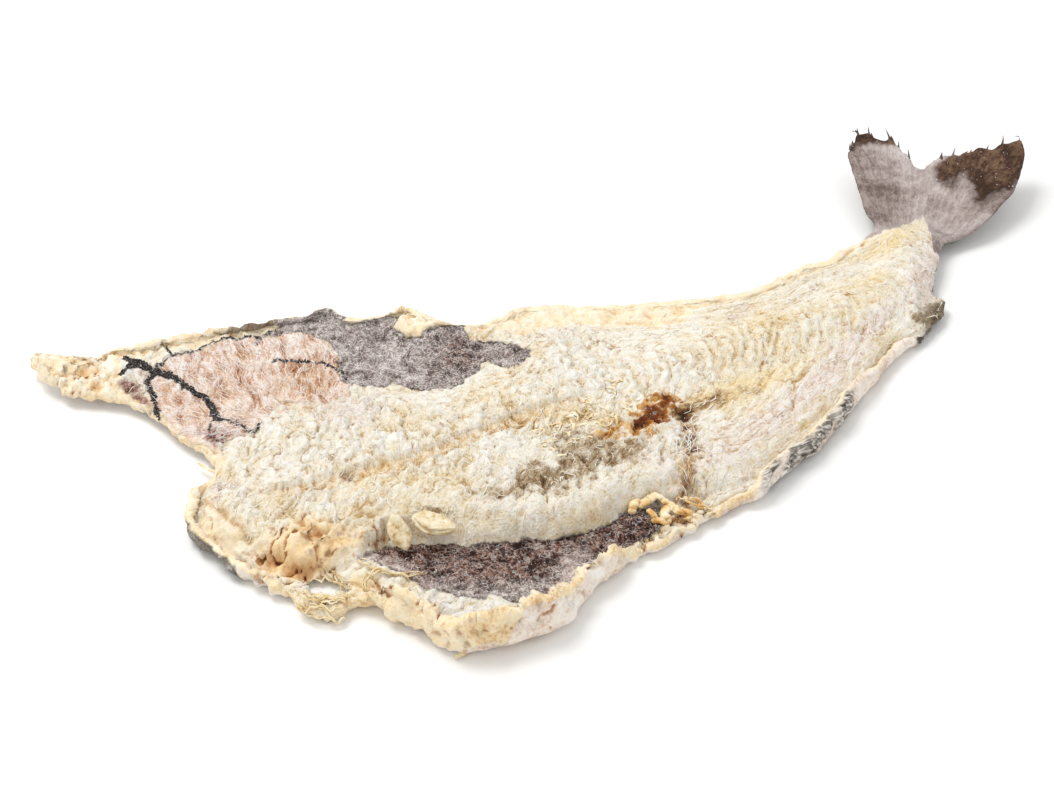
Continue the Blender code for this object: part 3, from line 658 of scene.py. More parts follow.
def sheet_points(step, fin_step, margin, seed):
    """Inner corners for the sheet, closer together on the fin."""
    low, high = edge_line.min(0), edge_line.max(0)
    coarse = lattice(low, high, step, seed)
    coarse = coarse[fin_place(coarse)[0] < 8.0]
    fine = lattice((495.0, 15.0), high, fin_step, seed)
    fine = fine[fin_place(fine)[0] >= 8.0]
    points = np.vstack([coarse, fine])
    points = points[inside(edge_line, points)]
    reach, _ = nearest(both_lines, points)
    return points[(reach > margin) & ~inside(hole_line, points)]


top_plan, top_faces = plan_mesh(
    edge_line, hole_line, sheet_points(MESH_STEP, FIN_MESH_STEP, 0.75 * EDGE_STEP, 5)
)
under_plan, under_faces = plan_mesh(edge_line, hole_line, sheet_points(UNDER_STEP, UNDER_STEP, EDGE_STEP, 6))


def reach_inside(points):
    """Distance from the sheet's edge or the hole's, 0 for the corners on them."""
    reach, _ = nearest(both_lines, points)
    return np.where(reach < 1e-3, 0.0, reach)


def flesh_masks(points):
    """What each point of the flesh side is, as named amounts from 0 to 1, or as millimetres into a shape."""
    depth, index = nearest(RIM, points)
    curl = RIM[index, 3] * RIM[index, 4] + RIM[index, 5]
    along, left = muscle_place(points)
    x, y = points.T
    edge = loin_line()
    reach, nearest_edge = nearest(edge, points)
    reach = np.where(inside(edge, points), reach, -reach)
    width = edge[nearest_edge, 2]
    ruffle = np.clip((width - 8.0) / 4.0, 0.15, 1.0) * (width < ROUND_WIDTH)
    reach = reach + (1.1 * grains(points, 5.0, 21) + 0.6 * grains(points, 2.6, 22)) * ruffle
    fall = np.clip(reach / width + FALL_OUTSIDE, 0.0, 1.0)
    gentle = smooth_steps((width - ROUND_WIDTH) / (SLOPE_WIDTH - ROUND_WIDTH))
    fall = (1 - (1 - fall) ** 2.3) * (1 - gentle) + smooth_steps(fall) * gentle
    fin_along, fin_aside, fin = fin_place(points)
    membrane = np.maximum(
        within(points, LEFT_MEMBRANE, 2.4, 31) - 3.0 * smooth_steps((grains(points, 30.0, 33) - 0.9) / 0.2),
        within(points, RIGHT_MEMBRANE, 2.0, 35),
    )
    patch = within(points, TORN_RIM_PATCH, 1.5, 37)
    foot = 0.6 - reach - FALL_OUTSIDE * width + 0.4 * grains(points, 7.0, 39)
    membrane = np.where(y < -48, np.minimum(membrane, foot), np.minimum(membrane, -patch))
    tail = smooth_steps((x - TAIL_START) / TAIL_BLEND)
    rim_width = 9.0 + 3.0 * grains(points, 16.0, 41)
    rim_width = rim_width + 22.0 * smooth_steps((x - 225) / 20) * smooth_steps((375 - x) / 60) * (y > 0)
    rim_width = rim_width + 6.0 * bell(x - 60, 60) * (y > 120)
    lip = smooth_steps((rim_width - depth) / 5.0 + 0.5)
    lip = np.maximum(lip, smooth_steps((22 - np.hypot(x + 6, (y - 172) * 0.7)) / 10 + 0.4) * (y > 120))
    lip = np.maximum(lip, smooth_steps((patch + 1.0) / 2.0))
    lip = lip * (1 - smooth_steps((x - BARE_END) / 30) * (y < middle_y(x)))
    stain = np.maximum(within(points, GREY_STAINS[0], 5.0, 51), within(points, GREY_STAINS[1], 2.0, 55))
    masks = {
        "depth": depth,
        "curl": curl,
        "radius": RIM[index, 3],
        "along": along,
        "left": left,
        "loin": fall,
        "loin_reach": reach,
        "width": width,
        "fin_along": fin_along,
        "fin_aside": fin_aside,
        "fin": fin,
        "tail": tail,
        "membrane": membrane,
        "patch": patch,
        "lining": within(points, PINK_LINING, 3.2, 43),
        "lip": lip,
        "stain": smooth_steps(stain / 9.0 + 0.4) * (0.78 + 0.75 * grains(points, 7.0, 57)),
        "blood": smooth_steps(within(points, BLOOD_STAIN, 6.0, 61) / 6.0 + 0.5),
        "amber": smooth_steps(
            within(points, AMBER_STAIN, 6.0, 65) / 6.0 + 0.6
        ) * (0.85 + 0.6 * grains(points, 5.0, 69)),
    }
    return masks


def groove_floor(points, along, left):
    """How deep the backbone's cut is, 0 to 1: a ragged trough that fades out at the tail and the neck."""
    half = 6.5 + 1.8 * grains(points, 11.0, 71) + 0.9 * grains(points, 3.6, 72)
    trough = smooth_steps((half - np.abs(left)) / 3.2 + 0.2)
    return trough * smooth_steps((along - 22) / 25) * smooth_steps((TAIL_START + 30 - along) / TAIL_BLEND)


def middle_y(x):
    """Where the backbone's line runs at x."""
    line = np.array(MIDLINE, float)
    return np.interp(x, line[:, 0], line[:, 1])


def flesh_height(points, masks):
    """Height of the flesh side over the skin, and how much of it is fine relief, in millimetres."""
    x, y = points.T
    depth, along, left = masks["depth"], masks["along"], masks["left"]
    fall, tail, fin = masks["loin"], masks["tail"], masks["fin"]
    thick = np.array(LOIN_THICK, float)
    crest = np.interp(x, thick[:, 0], thick[:, 1])
    groove = groove_floor(points, along, left)
    crest = crest - GROOVE_DEPTH * groove + TAIL_RIDGE * tail * bell(left, RIDGE_HALF)
    rim = FLAP_THICK + (RIM_THICK - FLAP_THICK) * bell(depth, RIM_THICK)
    flesh = rim + (crest - rim) * fall
    # Along the tail the flesh runs level out to its rims.
    shoulder = smooth_steps((x - 232) / 30) * smooth_steps((500 - x) / 40)
    shoulder = shoulder * np.where(y > middle_y(x), 4.0, 3.5)
    flesh = flesh + shoulder * bell(depth - masks["curl"] - 3.0, 12.0)
    for _, place, half, height in LUMPS:
        flesh = flesh + height * bell(np.linalg.norm(points - place, axis=1), half)

    membrane = smooth_steps(masks["membrane"] / 1.6 + 0.5)
    lining = smooth_steps(masks["lining"] / 4.0 + 0.5) * (1 - membrane)
    bare = (1 - membrane) * (1 - 0.7 * lining) * (1 - fin)
    steep = bell((masks["loin_reach"] - 4.0) / 9.0, 1.0) * (masks["width"] < ROUND_WIDTH) * (x < 300)
    # Muscle: broad swells, flakes that lean on each other, and crumbs.
    slant = np.where(left < 0, 0.8, 0.25)
    flake = np.stack([along - slant * left, left], 1)
    flake = flake + 3.2 * drift(points, 9.0, 79)
    crack, tilt = cells(flake, (9.5, 11.5), 81, 0.4)
    small_crack, small_tilt = cells(flake, (4.6, 5.2), 82, 0.4)
    rough = 0.55 + 0.45 * smooth_steps((grains(points, 24.0, 83) + 0.5) / 0.8)
    relief = 0.8 * grains(points, (26.0, 34.0), 84) + 0.45 * heaps(flake, (14.0, 22.0), 85)
    relief = relief + rough * (2.1 * tilt - 0.9 * bell(crack, 0.08)) * (0.35 + 0.65 * fall)
    relief = relief + rough * (1.5 * small_tilt - 0.55 * bell(small_crack, 0.12))
    relief = relief + 0.45 * heaps(flake, (6.4, 8.2), 78) + 0.26 * heaps(flake, (2.9, 3.8), 86)
    relief = relief * (1 - 0.4 * tail) * (1 - 0.45 * np.clip(masks["stain"], 0.0, 1.0))
    beat = flake[:, 0] / 8.0 + 0.3 * grains(points, 17.0, 87)
    beat = beat - np.floor(beat)
    leaning = np.where(beat < 0.8, beat / 0.8, (1 - beat) / 0.2) - 0.5
    chevron = smooth_steps((along - 250) / 30) * smooth_steps((450 - along) / 50) * bell(left, 24.0)
    relief = relief + 2.5 * leaning * (chevron + 0.1 * fall * (1 - tail)) * rough
    # A few long cracks where the flakes have parted, painted tan inside as shade.
    crack, _ = cells(
        flake + 2.5 * drift(points, 7.0, 88), (23.0, 38.0), 90
    )
    parted = bell(crack, 0.035) * smooth_steps((grains(points, 26.0, 91) - 0.05) / 0.25)
    relief = relief - 1.4 * parted * fall
    seam = left + 5.5 - 3.0 * grains(points, 24.0, 146) - 0.9 * grains(points, 5.0, 147)
    seam = bell(seam, 1.5) * smooth_steps((along - 50) / 20) * smooth_steps((225 - along) / 25) * (
        0.75 + 0.6 * grains(points, 16.0, 148)
    )
    relief = relief - 1.1 * seam
    # Long furrows along the right side of the tail and along its left rim.
    furrows = smooth_steps((x - 262) / 30) * smooth_steps((np.abs(left + 6) - 14) / 14) * (1 - fin)
    relief = relief * (1 - 0.45 * furrows)
    relief = relief + 0.4 * np.sin(depth / 1.2 + 2.4 * grains(points, (60.0, 14.0), 92)) * furrows
    relief = relief * bare * (1 - 0.7 * steep)

    # Flap lining: fibres that run out to the rim; black lining: thin folds.
    out_way = np.stack([x * 0.95 - y * 0.3, x * 0.3 + y * 0.95], 1)
    out_way = out_way + 4.5 * drift(points, 16.0, 93)
    relief = relief + lining * (
        0.42 * heaps(out_way, (3.2, 17.0), 95) + 0.7 * heaps(out_way, (8.0, 26.0), 96)
    )
    folds = 0.4 * heaps(points, (9.0, 7.0), 97) + 0.22 * heaps(points, 3.6, 98)
    bands = np.sin(masks["membrane"] / 1.1 + 1.6 * grains(points, 17.0, 99)) * (y < 0)
    bands = bands * smooth_steps((122 - x) / 30) * smooth_steps((13 - masks["membrane"]) / 5)
    relief = relief + membrane * (folds + 0.45 * bands)
    relief = relief - 0.8 * bell(masks["membrane"], 1.0) * (1 - fin)
    # The rims dried as soft lumps.
    lumps = 0.9 * heaps(points, 14.0, 101) + 0.35 * heaps(points, 5.5, 102) + 0.15 * heaps(points, 2.9, 110)
    relief = relief + lumps * masks["lip"] * (1 - fin) * 0.8
    # Crumpled flesh by the collar, and the crease behind the neck's lip.
    crumple = np.maximum(bell(np.hypot(x - 38, y + 38), 22.0), bell(np.hypot(x - 78, y + 46), 15.0))
    crumple = np.maximum(crumple, 0.35 * bell(x - 2, 13.0) * (np.abs(y) < 60))
    crumple = np.maximum(crumple, 0.8 * bell(np.hypot((x - 70) * 0.6, y + 118), 26.0))
    crumple = np.maximum(crumple, 0.8 * bell(np.hypot((x + 10) * 0.7, y - 172), 24.0))
    twisted = points + 5.0 * drift(points, 14.0, 103)
    folds = heaps(twisted, (17.0, 11.0), 105)
    small_folds = heaps(twisted, (7.5, 5.5), 106)
    relief = relief + crumple * (2.0 * folds + 1.1 * small_folds + 0.4 * heaps(points, 3.4, 115))
    # Painted shade in the deepest valleys between the collar's folds.
    pocket_shade = 0.8 * smooth_steps((-1.05 - folds) / 0.5) + 0.7 * smooth_steps((-1.05 - small_folds) / 0.4)
    pocket_shade = pocket_shade * smooth_steps((crumple - 0.2) / 0.4) * (y < -20) * (x > 20) * (y > -60)
    crease = line_distance(twisted * 0.35 + points * 0.65, LIP_CREASE)
    relief = relief - 1.6 * bell(crease, 2.0) - 1.6 * bell(crease, 6.0)
    # Painted shade along the crease behind the neck's lip, in broken lengths.
    crease = crease + 2.0 * smooth_steps(grains(points, 14.0, 118) / 0.4)
    slit = line_distance(
        points + 1.6 * drift(points, 5.0, 107), VENT_SLIT
    )
    relief = relief - 1.3 * bell(slit, 2.6) - 1.2 * bell(slit, 7.0)
    relief = relief + 1.5 * bell(slit - 7.0, 3.4) * heaps(points, 6.5, 109)
    torn = bell(np.hypot((x - 225) * 0.8, (y + 28) * 1.2), 22.0)
    curl_edge, curl_tilt = cells(twisted, (8.0, 6.0), 116, 1.0)
    relief = relief + torn * (2.6 * curl_tilt - 1.0 * bell(curl_edge, 0.12))
    crust = crust_height(points)
    relief = relief + crust * (0.9 + 0.8 * grains(points, 2.8, 117))

    # The fin's rays fan out from its root and fork once.
    spread = np.arctan2(masks["fin_aside"], np.maximum(masks["fin_along"] + RAY_FAN, 1.0))
    rays = np.abs(np.sin(spread * 46.0 + 0.8 * grains(points, 40.0, 111)))
    forked = np.abs(np.sin(spread * 92.0 + 1.6 * grains(points, 40.0, 111)))
    share = smooth_steps((masks["fin_along"] - 45.0) / 25.0)
    ribs = (1 - (rays * (1 - share) + forked * share)) ** 2
    relief = relief + fin * (0.75 * ribs - 0.25 + 0.3 * grains(points, 7.0, 112))

    bent = smooth_steps(np.maximum(masks["curl"] - depth, 0.0) / LIP_BLEND) * (masks["curl"] > 0.5)
    full = RIM_THICK + (
        np.clip(0.93 * masks["radius"], RIM_THICK, 8.0) - RIM_THICK
    ) * smooth_steps((x - 225) / 20)
    flesh = flesh + (np.minimum(flesh, full) - flesh) * bent
    flesh = np.maximum(flesh, LEAST_FLESH) * (1 - fin) + FIN_THICK * fin
    relief = relief * (1 - 0.35 * bent)
    height = np.maximum(flesh + relief, np.where(fin > 0.5, 1.0, 1.6))
    # How far the relief stands over the flesh, kept for painted shade in its hollows and painted highlight on
    # its ridges.
    hollow_shade = height - flesh
    hollow_shade = hollow_shade * (1 - 0.5 * steep)
    hollow_shade = hollow_shade + 1.2 * lining * heaps(out_way, (3.2, 17.0), 95) * 0.3
    way = np.where((fin > 0.5)[:, None], np.stack([spread * 70.0, masks["fin_along"]], 1), flake)
    way = np.where((masks["lining"] > 0)[:, None] | (masks["membrane"] > 0)[:, None], out_way, way)
    height = height + 2.2 * smooth_steps(masks["patch"] / 2.0 + 0.3) * (1.0 + 0.4 * heaps(points, 6.0, 119))
    made = {
        "hollow_shade": hollow_shade,
        "ribs": ribs * fin,
        "pocket_shade": pocket_shade,
        "parted": parted * fall * bare,
        "seam": seam,
        "groove": groove,
        "slit": bell(slit, 4.6) * (0.5 + 0.95 * grains(points, 5.0, 120)),
        "crease": bell(crease, 2.2),
        "crust": crust,
        "furrows": furrows,
        "steep": steep,
    }
    return height, flesh, made, way


def sheet_place(points, depth):
    """Place and normal of the skin, with the slow waves that its rims dried into."""
    place, normal = sampled(SKIN_PLACE, points), sampled(SKIN_NORMAL, points)
    normal /= np.linalg.norm(normal, axis=1, keepdims=True)
    wave = 2.2 * grains(points, 19.0, 131) + 1.3 * grains(points, 8.5, 132) + 0.6 * grains(points, 4.0, 133)
    wave = wave * smooth_steps((34 - depth) / 22) * smooth_steps((place[:, 2] - 1.0) / 5.0)
    wave = wave * (1 - 0.6 * fin_place(points)[2])
    return place + normal * wave[:, None], normal


def crumpled(corners, faces, plan):
    """The closed sheet with the folds of its collar, flap fronts and walls pushed in and out of it, and how
    deep in a crease each corner lies, 0 to about 1, for painted shade in the creases."""
    first, second, third = (corners[faces[:, k]] for k in range(3))
    face_normal = np.cross(second - first, third - first)
    normal = np.zeros(corners.shape)
    for k in range(3):
        for axis in range(3):
            normal[:, axis] += np.bincount(faces[:, k], face_normal[:, axis], len(corners))
    normal /= np.maximum(np.linalg.norm(normal, axis=1, keepdims=True), 1e-9)
    x, y = plan.T
    amount = patches(plan, CRUMPLED)
    wall = smooth_steps((30 - nearest(RIM, plan)[0]) / 12) * (y < -30) * smooth_steps((262 - x) / 20)
    amount = np.minimum(np.maximum(amount, 1.25 * wall), 1.35) * (1 - fin_place(plan)[2])
    push, crease = np.zeros(len(corners)), np.zeros(len(corners))
    for i in np.flatnonzero(amount > 0.02):
        at = Vector(corners[i])
        shift = Vector([noise.noise(at / 15.0 + Vector((0.0, 0.0, 17.0 * k))) for k in (1, 2, 3)]) * 6.0
        coarse = 1.0 - 3.4 * abs(noise.noise((at + shift) / 13.0))
        middle = 1.0 - 3.4 * abs(noise.noise((at + shift) / 6.0 + Vector((7.0, 0.0, 0.0))))
        push[i] = amount[i] * (1.8 * coarse - 0.8 * middle + 0.5 * noise.noise(at / 2.6))
        parting = abs(noise.noise((at + shift * 0.7) / 10.0 + Vector((0.0, 31.0, 0.0)))) / 0.055
        crease[i] = math.exp(-(parting**2)) * min(1.0, 1.6 * amount[i] - 0.35) * (
            0.85 + 1.4 * noise.noise(at / 17.0)
        )
        crease[i] = max(crease[i], 0.0)
        push[i] -= 2.0 * crease[i]
    settled = smooth_steps((corners[:, 2] - 0.3) / 2.5)
    return corners + normal * (push * settled)[:, None], crease


def cod_corners():
    """Corners and triangles of the whole fish, both sides, and what is needed to paint the flesh side."""
    reach = reach_inside(top_plan)
    masks = flesh_masks(top_plan)
    height, flesh, paint, way = flesh_height(top_plan, masks)
    skin, normal = sheet_place(top_plan, masks["depth"])
    half = np.minimum(flesh, RIM_THICK) / 2
    swell = 1 - np.sqrt(1 - (1 - np.clip(reach / half, 0.0, 1.0)) ** 2)
    top = skin + normal * (height - (height - half) * swell)[:, None]

    under_reach = reach_inside(under_plan)
    under_masks = flesh_masks(under_plan)
    _, under_flesh, _, _ = flesh_height(under_plan, under_masks)
    skin, normal = sheet_place(under_plan, under_masks["depth"])
    half = np.minimum(under_flesh, RIM_THICK) / 2
    swell = 1 - np.sqrt(1 - (1 - np.clip(under_reach / half, 0.0, 1.0)) ** 2)
    under = skin + normal * (half * swell)[:, None]

    # Both sides share the corners on the edges: those of the top stand for both.
    tree = KDTree(len(top))
    on_edge = np.flatnonzero(reach == 0.0)
    for i in on_edge:
        tree.insert((*top_plan[i], 0.0), int(i))
    tree.balance()
    index = np.arange(len(under)) + len(top)
    for i in np.flatnonzero(under_reach == 0.0):
        _, match, away = tree.find((*under_plan[i], 0.0))
        if away < 1e-3:
            index[i] = match
    corners = np.vstack([top, under])
    plan = np.vstack([top_plan, under_plan])
    faces = np.vstack([top_faces, index[under_faces][:, ::-1]])
    used, faces = np.unique(faces, return_inverse=True)
    faces = faces.reshape(-1, 3)
    for name in ("membrane", "lining", "lip", "stain", "blood", "amber"):
        paint[name] = masks[name]
    for name, tints in TINTS.items():
        paint[name] = patches(top_plan, tints)
    # The flesh ends at the fin in a tongue along its right side, with bare mauve skin beyond the tongue.
    aside = np.clip(masks["fin_aside"], -30.0, 30.0)
    tongue = 3.0 + 0.7 * (25.0 - aside) - 50.0 * smooth_steps((-10.0 - aside) / 8.0)
    tongue = tongue + 2.0 * grains(top_plan, 6.0, 145)
    paint["fin"] = smooth_steps(0.5 + (masks["fin_along"] - tongue) / 14.0)
    paint["dark_line"] = bell(masks["membrane"] - 0.4, 1.1) * smooth_steps(grains(top_plan, 15.0, 141) + 0.6)
    right_front = (top_plan[:, 1] < 0) * smooth_steps((182 - top_plan[:, 0]) / 24)
    glaze = np.maximum(patches(top_plan, GLAZED), 0.55 * masks["lip"]) * (1 - masks["fin"])
    paint["glaze"] = np.clip(glaze * (1.05 + 0.5 * grains(top_plan, 9.0, 144)), 0.0, 1.0)
    paint["mauve"] = smooth_steps((47 - masks["depth"]) / 13) * right_front
    corners, faces, plan = corners[used], faces, plan[used]
    corners, crease = crumpled(corners, faces, plan)
    way = np.stack([way[:, 0], way[:, 1], masks["depth"]], 1)
    return corners, faces, plan, used, paint, crease, way, masks["along"], len(top_faces)


def colour(code):
    """sRGB hex to the linear colour that shaders take."""
    parts = [int(code[i : i + 2], 16) / 255 for i in (1, 3, 5)]
    return tuple(p / 12.92 if p <= 0.04045 else ((p + 0.055) / 1.055) ** 2.4 for p in parts) + (1.0,)


def node(tree, kind, inputs=None, **settings):
    """Adds a shader node with its settings; each input is a value or the output that feeds it."""
    made = tree.nodes.new("ShaderNode" + kind)
    for name, value in settings.items():
        setattr(made, name, value)
    for key, value in (inputs or {}).items():
        if isinstance(value, bpy.types.NodeSocket):
            tree.links.new(value, made.inputs[key])
        else:
            made.inputs[key].default_value = value
    return made


def start_material(name):
    """A material with only its output and Principled shader: its tree, and the shader."""
    material = bpy.data.materials.new(name)
    material.use_nodes = True
    tree = material.node_tree
    tree.nodes.clear()
    shader = node(tree, "BsdfPrincipled")
    node(tree, "OutputMaterial", {"Surface": shader.outputs[0]})
    return material, tree, shader


def fill_ramp(ramp, stops):
    """Puts the colours at their places along a colour ramp."""
    elements = ramp.color_ramp.elements
    while len(elements) < len(stops):
        elements.new(0.5)
    for element, (place, code) in zip(elements, stops):
        element.position = place
        element.color = colour(code)


def tint_over(tree, base, name, span, wander, rough, tone, codes, places=(0.05, 0.45, 0.95)):
    """Lays a tint over the base colour where its painted amount lies in the span, its border roughened."""
    amount = node(tree, "Attribute", attribute_name=name).outputs["Fac"]
    amount = node(tree, "Math", {0: wander, 1: rough, 2: amount}, operation="MULTIPLY_ADD").outputs[0]
    between = {0: amount, 1: span[0], 2: span[1]}
    amount = node(tree, "MapRange", between, interpolation_type="SMOOTHSTEP").outputs[0]
    ramp = node(tree, "ValToRGB", {0: tone})
    fill_ramp(ramp, tuple(zip(places, codes)))
    return node(tree, "Mix", {0: amount, 6: base, 7: ramp.outputs[0]}, data_type="RGBA").outputs[2], amount


# Per mask of the flesh side: the amounts at which it starts and is full, how far fine noise moves its
# border, and its colours from the hollows, as painted shade, over the middle, to the salted ridges, as
# painted highlight.
FLESH_ZONES = (
    ("blush", 0.15, 1.0, 0.5, ("#C2A08D", "#EADACD", "#FDF8F4")),
    ("yellow", 0.15, 1.1, 0.5, ("#CC9E55", "#F3DCA9", "#FDF3DA")),
    ("groove", 0.35, 1.3, 0.6, ("#B98240", "#E6C288", "#FAF1DC")),
    ("peach", 0.2, 1.1, 0.6, ("#B8702C", "#F4D6A4", "#FFF2DA")),
    ("slit", 0.15, 0.9, 0.7, ("#6F3F1E", "#AB7A48", "#E6CFAA")),
    # Painted shade along the crease behind the neck's lip.
    ("crease", 0.35, 1.4, 0.6, ("#A8743F", "#D9AE78", "#F3DCB8")),
    # Painted shade in the deepest valleys between the collar's folds.
    ("pocket_shade", 0.2, 1.1, 0.5, ("#9C4C14", "#D08E4C", "#F4D6AC")),
    # Painted shade inside the long cracks where the flakes have parted.
    ("parted", 0.25, 1.0, 0.2, ("#AA8148", "#CFA870", "#EED9B2")),
    ("seam", 0.35, 1.0, 0.35, ("#9A6420", "#CD9646", "#F0D8A8")),
    ("amber", 0.15, 0.95, 1.0, ("#7E3E04", "#BE7C24", "#F0D094")),
    # Deep brown stains, and painted shadow at the foot of the gristle knobs.
    ("umber_and_shadow", 0.3, 1.0, 0.9, ("#3E2210", "#8A6238", "#D8BC8C")),
    ("blood", 0.3, 0.9, 1.0, ("#2A0700", "#6C2F04", "#AE6C1C")),
    ("stain", 0.1, 0.9, 0.9, ("#4E3520", "#9A7C56", "#DFCFB2")),
    ("lip", 0.15, 0.9, 0.4, ("#D9AC70", "#F9E5C2", "#FFF8E8")),
    # Painted shade: brown in the creases of the crumpled folds.
    ("fold_shade", 0.2, 0.8, 0.25, ("#6E3210", "#B0713A", "#E8C08A")),
    ("lining", -2.5, 4.0, 2.0, ("#A56E4E", "#DFBBA2", "#FFF8F2")),
    ("tan", 0.15, 0.8, 0.8, ("#8E5832", "#C69870", "#F6DEC8")),
    ("bruise", 0.3, 1.1, 0.9, ("#3A150C", "#7E4E3E", "#D8C0B4")),
    ("membrane", -0.6, 0.8, 1.0, ("#3E302C", "#897A75", "#CEC3BE")),
    ("dark_line", 0.3, 0.9, 0.4, ("#2A201D", "#5C504C", "#9C918C")),
    ("olive", 0.25, 0.9, 0.5, ("#3E3022", "#7D6B56", "#B4A58C")),
)
FIN_ZONES = (
    ("fin", 0.3, 0.7, ("#76655D", "#BCADA8", "#E8E0DC")),
    ("soot", 0.25, 0.9, ("#1E110A", "#4A3122", "#94765C")),
)


def flesh_material():
    """Cod flesh, salted and air-dried: matt and cream, tan in its hollows as painted shade, and whitest on
    its ridges as painted highlight over its salt.
    """
    material, tree, shader = start_material("dried_salted_flesh")
    place = node(tree, "TexCoord").outputs["Object"]
    hollow_shade = node(tree, "Attribute", attribute_name="hollow_shade").outputs["Fac"]
    muscle = node(tree, "Attribute", attribute_name="grain").outputs["Vector"]
    soft = node(tree, "TexNoise", {"Vector": place, "Scale": 150.0, "Detail": 6.0, "Roughness": 0.66})
    broad = node(tree, "TexNoise", {"Vector": place, "Scale": 22.0, "Detail": 3.0, "Roughness": 0.5})
    fine = node(tree, "TexNoise", {"Vector": place, "Scale": 800.0, "Detail": 3.0, "Roughness": 0.7})
    along = node(
        tree, "Mapping", {"Vector": muscle, "Rotation": (0.0, 0.0, 0.25), "Scale": (800.0, 210.0, 0.0)}
    )
    across = node(
        tree, "TexNoise", {"Vector": along.outputs[0], "Scale": 1.0, "Detail": 3.0, "Distortion": 1.4}
    )
    long_way = node(tree, "Attribute", attribute_name="long_grain").outputs["Vector"]
    along = node(tree, "Mapping", {"Vector": long_way, "Scale": (700.0, 90.0, 0.0)})
    length = node(
        tree, "TexNoise", {"Vector": along.outputs[0], "Scale": 1.0, "Detail": 3.0, "Distortion": 0.6}
    )
    furrows = node(tree, "Attribute", attribute_name="furrows").outputs["Fac"]
    fibre = node(tree, "Mix", {0: furrows, 2: across.outputs[0], 3: length.outputs[0]}).outputs[0]
    steep = node(tree, "Attribute", attribute_name="steep").outputs["Fac"]
    fibre = node(tree, "Mix", {0: steep, 2: fibre, 3: soft.outputs[0]}).outputs[0]
    # Painted shade and highlight: the relief's hollows darken the tone and its ridges lighten it.
    tone = node(tree, "Math", {0: hollow_shade, 1: 0.17, 2: soft.outputs[0]}, operation="MULTIPLY_ADD").outputs[0]
    tone = node(tree, "Math", {0: fine.outputs[0], 1: 1.0, 2: tone}, operation="MULTIPLY_ADD").outputs[0]
    tone = node(tree, "Math", {0: fibre, 1: 1.0, 2: tone}, operation="MULTIPLY_ADD").outputs[0]
    tone = node(tree, "MapRange", {0: tone, 1: 1.08, 2: 1.84}).outputs[0]
    # Collar, folds and rims dried smooth, like glue, so their grain is faint and their painted shade is
    # weaker.
    glaze = node(tree, "Attribute", attribute_name="glaze").outputs["Fac"]
    calm = node(tree, "Math", {0: hollow_shade, 1: 0.13, 2: 0.5}, operation="MULTIPLY_ADD").outputs[0]
    calm_part = node(
        tree, "Math", {0: soft.outputs[0], 1: 0.9, 2: -0.45}, operation="MULTIPLY_ADD"
    ).outputs[0]
    calm = node(tree, "Math", {0: calm, 1: calm_part}, operation="ADD").outputs[0]
    tone = node(tree, "Mix", {0: glaze, 2: tone, 3: calm}).outputs[0]
    ramp = node(tree, "ValToRGB", {0: tone})
    fill_ramp(
        ramp, ((0.0, "#D2B688"), (0.2, "#EDDEBF"), (0.45, "#F7EEDC"), (0.7, "#FBF6EA"), (1.0, "#FEFBF5"))
    )
    warm = node(tree, "ValToRGB", {0: tone})
    fill_ramp(warm, ((0.0, "#C5A26A"), (0.3, "#E8CF9F"), (0.6, "#F7E8C8"), (1.0, "#FEF7E6")))
    share = node(tree, "MapRange", {0: broad.outputs[0], 1: 0.46, 2: 0.72}).outputs[0]
    base = node(tree, "Mix", {0: share, 6: ramp.outputs[0], 7: warm.outputs[0]}, data_type="RGBA").outputs[2]
    wander = node(tree, "Math", {0: soft.outputs[0], 1: 0.5}, operation="SUBTRACT").outputs[0]
    amounts = {}
    for name, low, high, rough, codes in FLESH_ZONES:
        base, amounts[name] = tint_over(tree, base, name, (low, high), wander, 3.0 * rough, tone, codes)

    # The fin: calm mauve web, salted, its outer parts dark brown.
    web = node(tree, "Math", {0: wander, 1: 0.9, 2: 0.5}, operation="MULTIPLY_ADD").outputs[0]
    rays = node(tree, "Attribute", attribute_name="ribs").outputs["Fac"]
    web = node(tree, "Math", {0: rays, 1: 0.1, 2: web}, operation="MULTIPLY_ADD").outputs[0]
    streak = node(tree, "Math", {0: fibre, 1: 0.5}, operation="SUBTRACT").outputs[0]
    web = node(tree, "Math", {0: streak, 1: 0.55, 2: web}, operation="MULTIPLY_ADD").outputs[0]
    broad_part = node(tree, "Math", {0: broad.outputs[0], 1: 0.5}, operation="SUBTRACT").outputs[0]
    web = node(
        tree, "Math", {0: broad_part, 1: 1.6, 2: web}, operation="MULTIPLY_ADD", use_clamp=True
    ).outputs[0]
    for name, low, high, codes in FIN_ZONES:
        base, _ = tint_over(tree, base, name, (low, high), wander, 1.6, web, codes, (0.1, 0.5, 0.9))

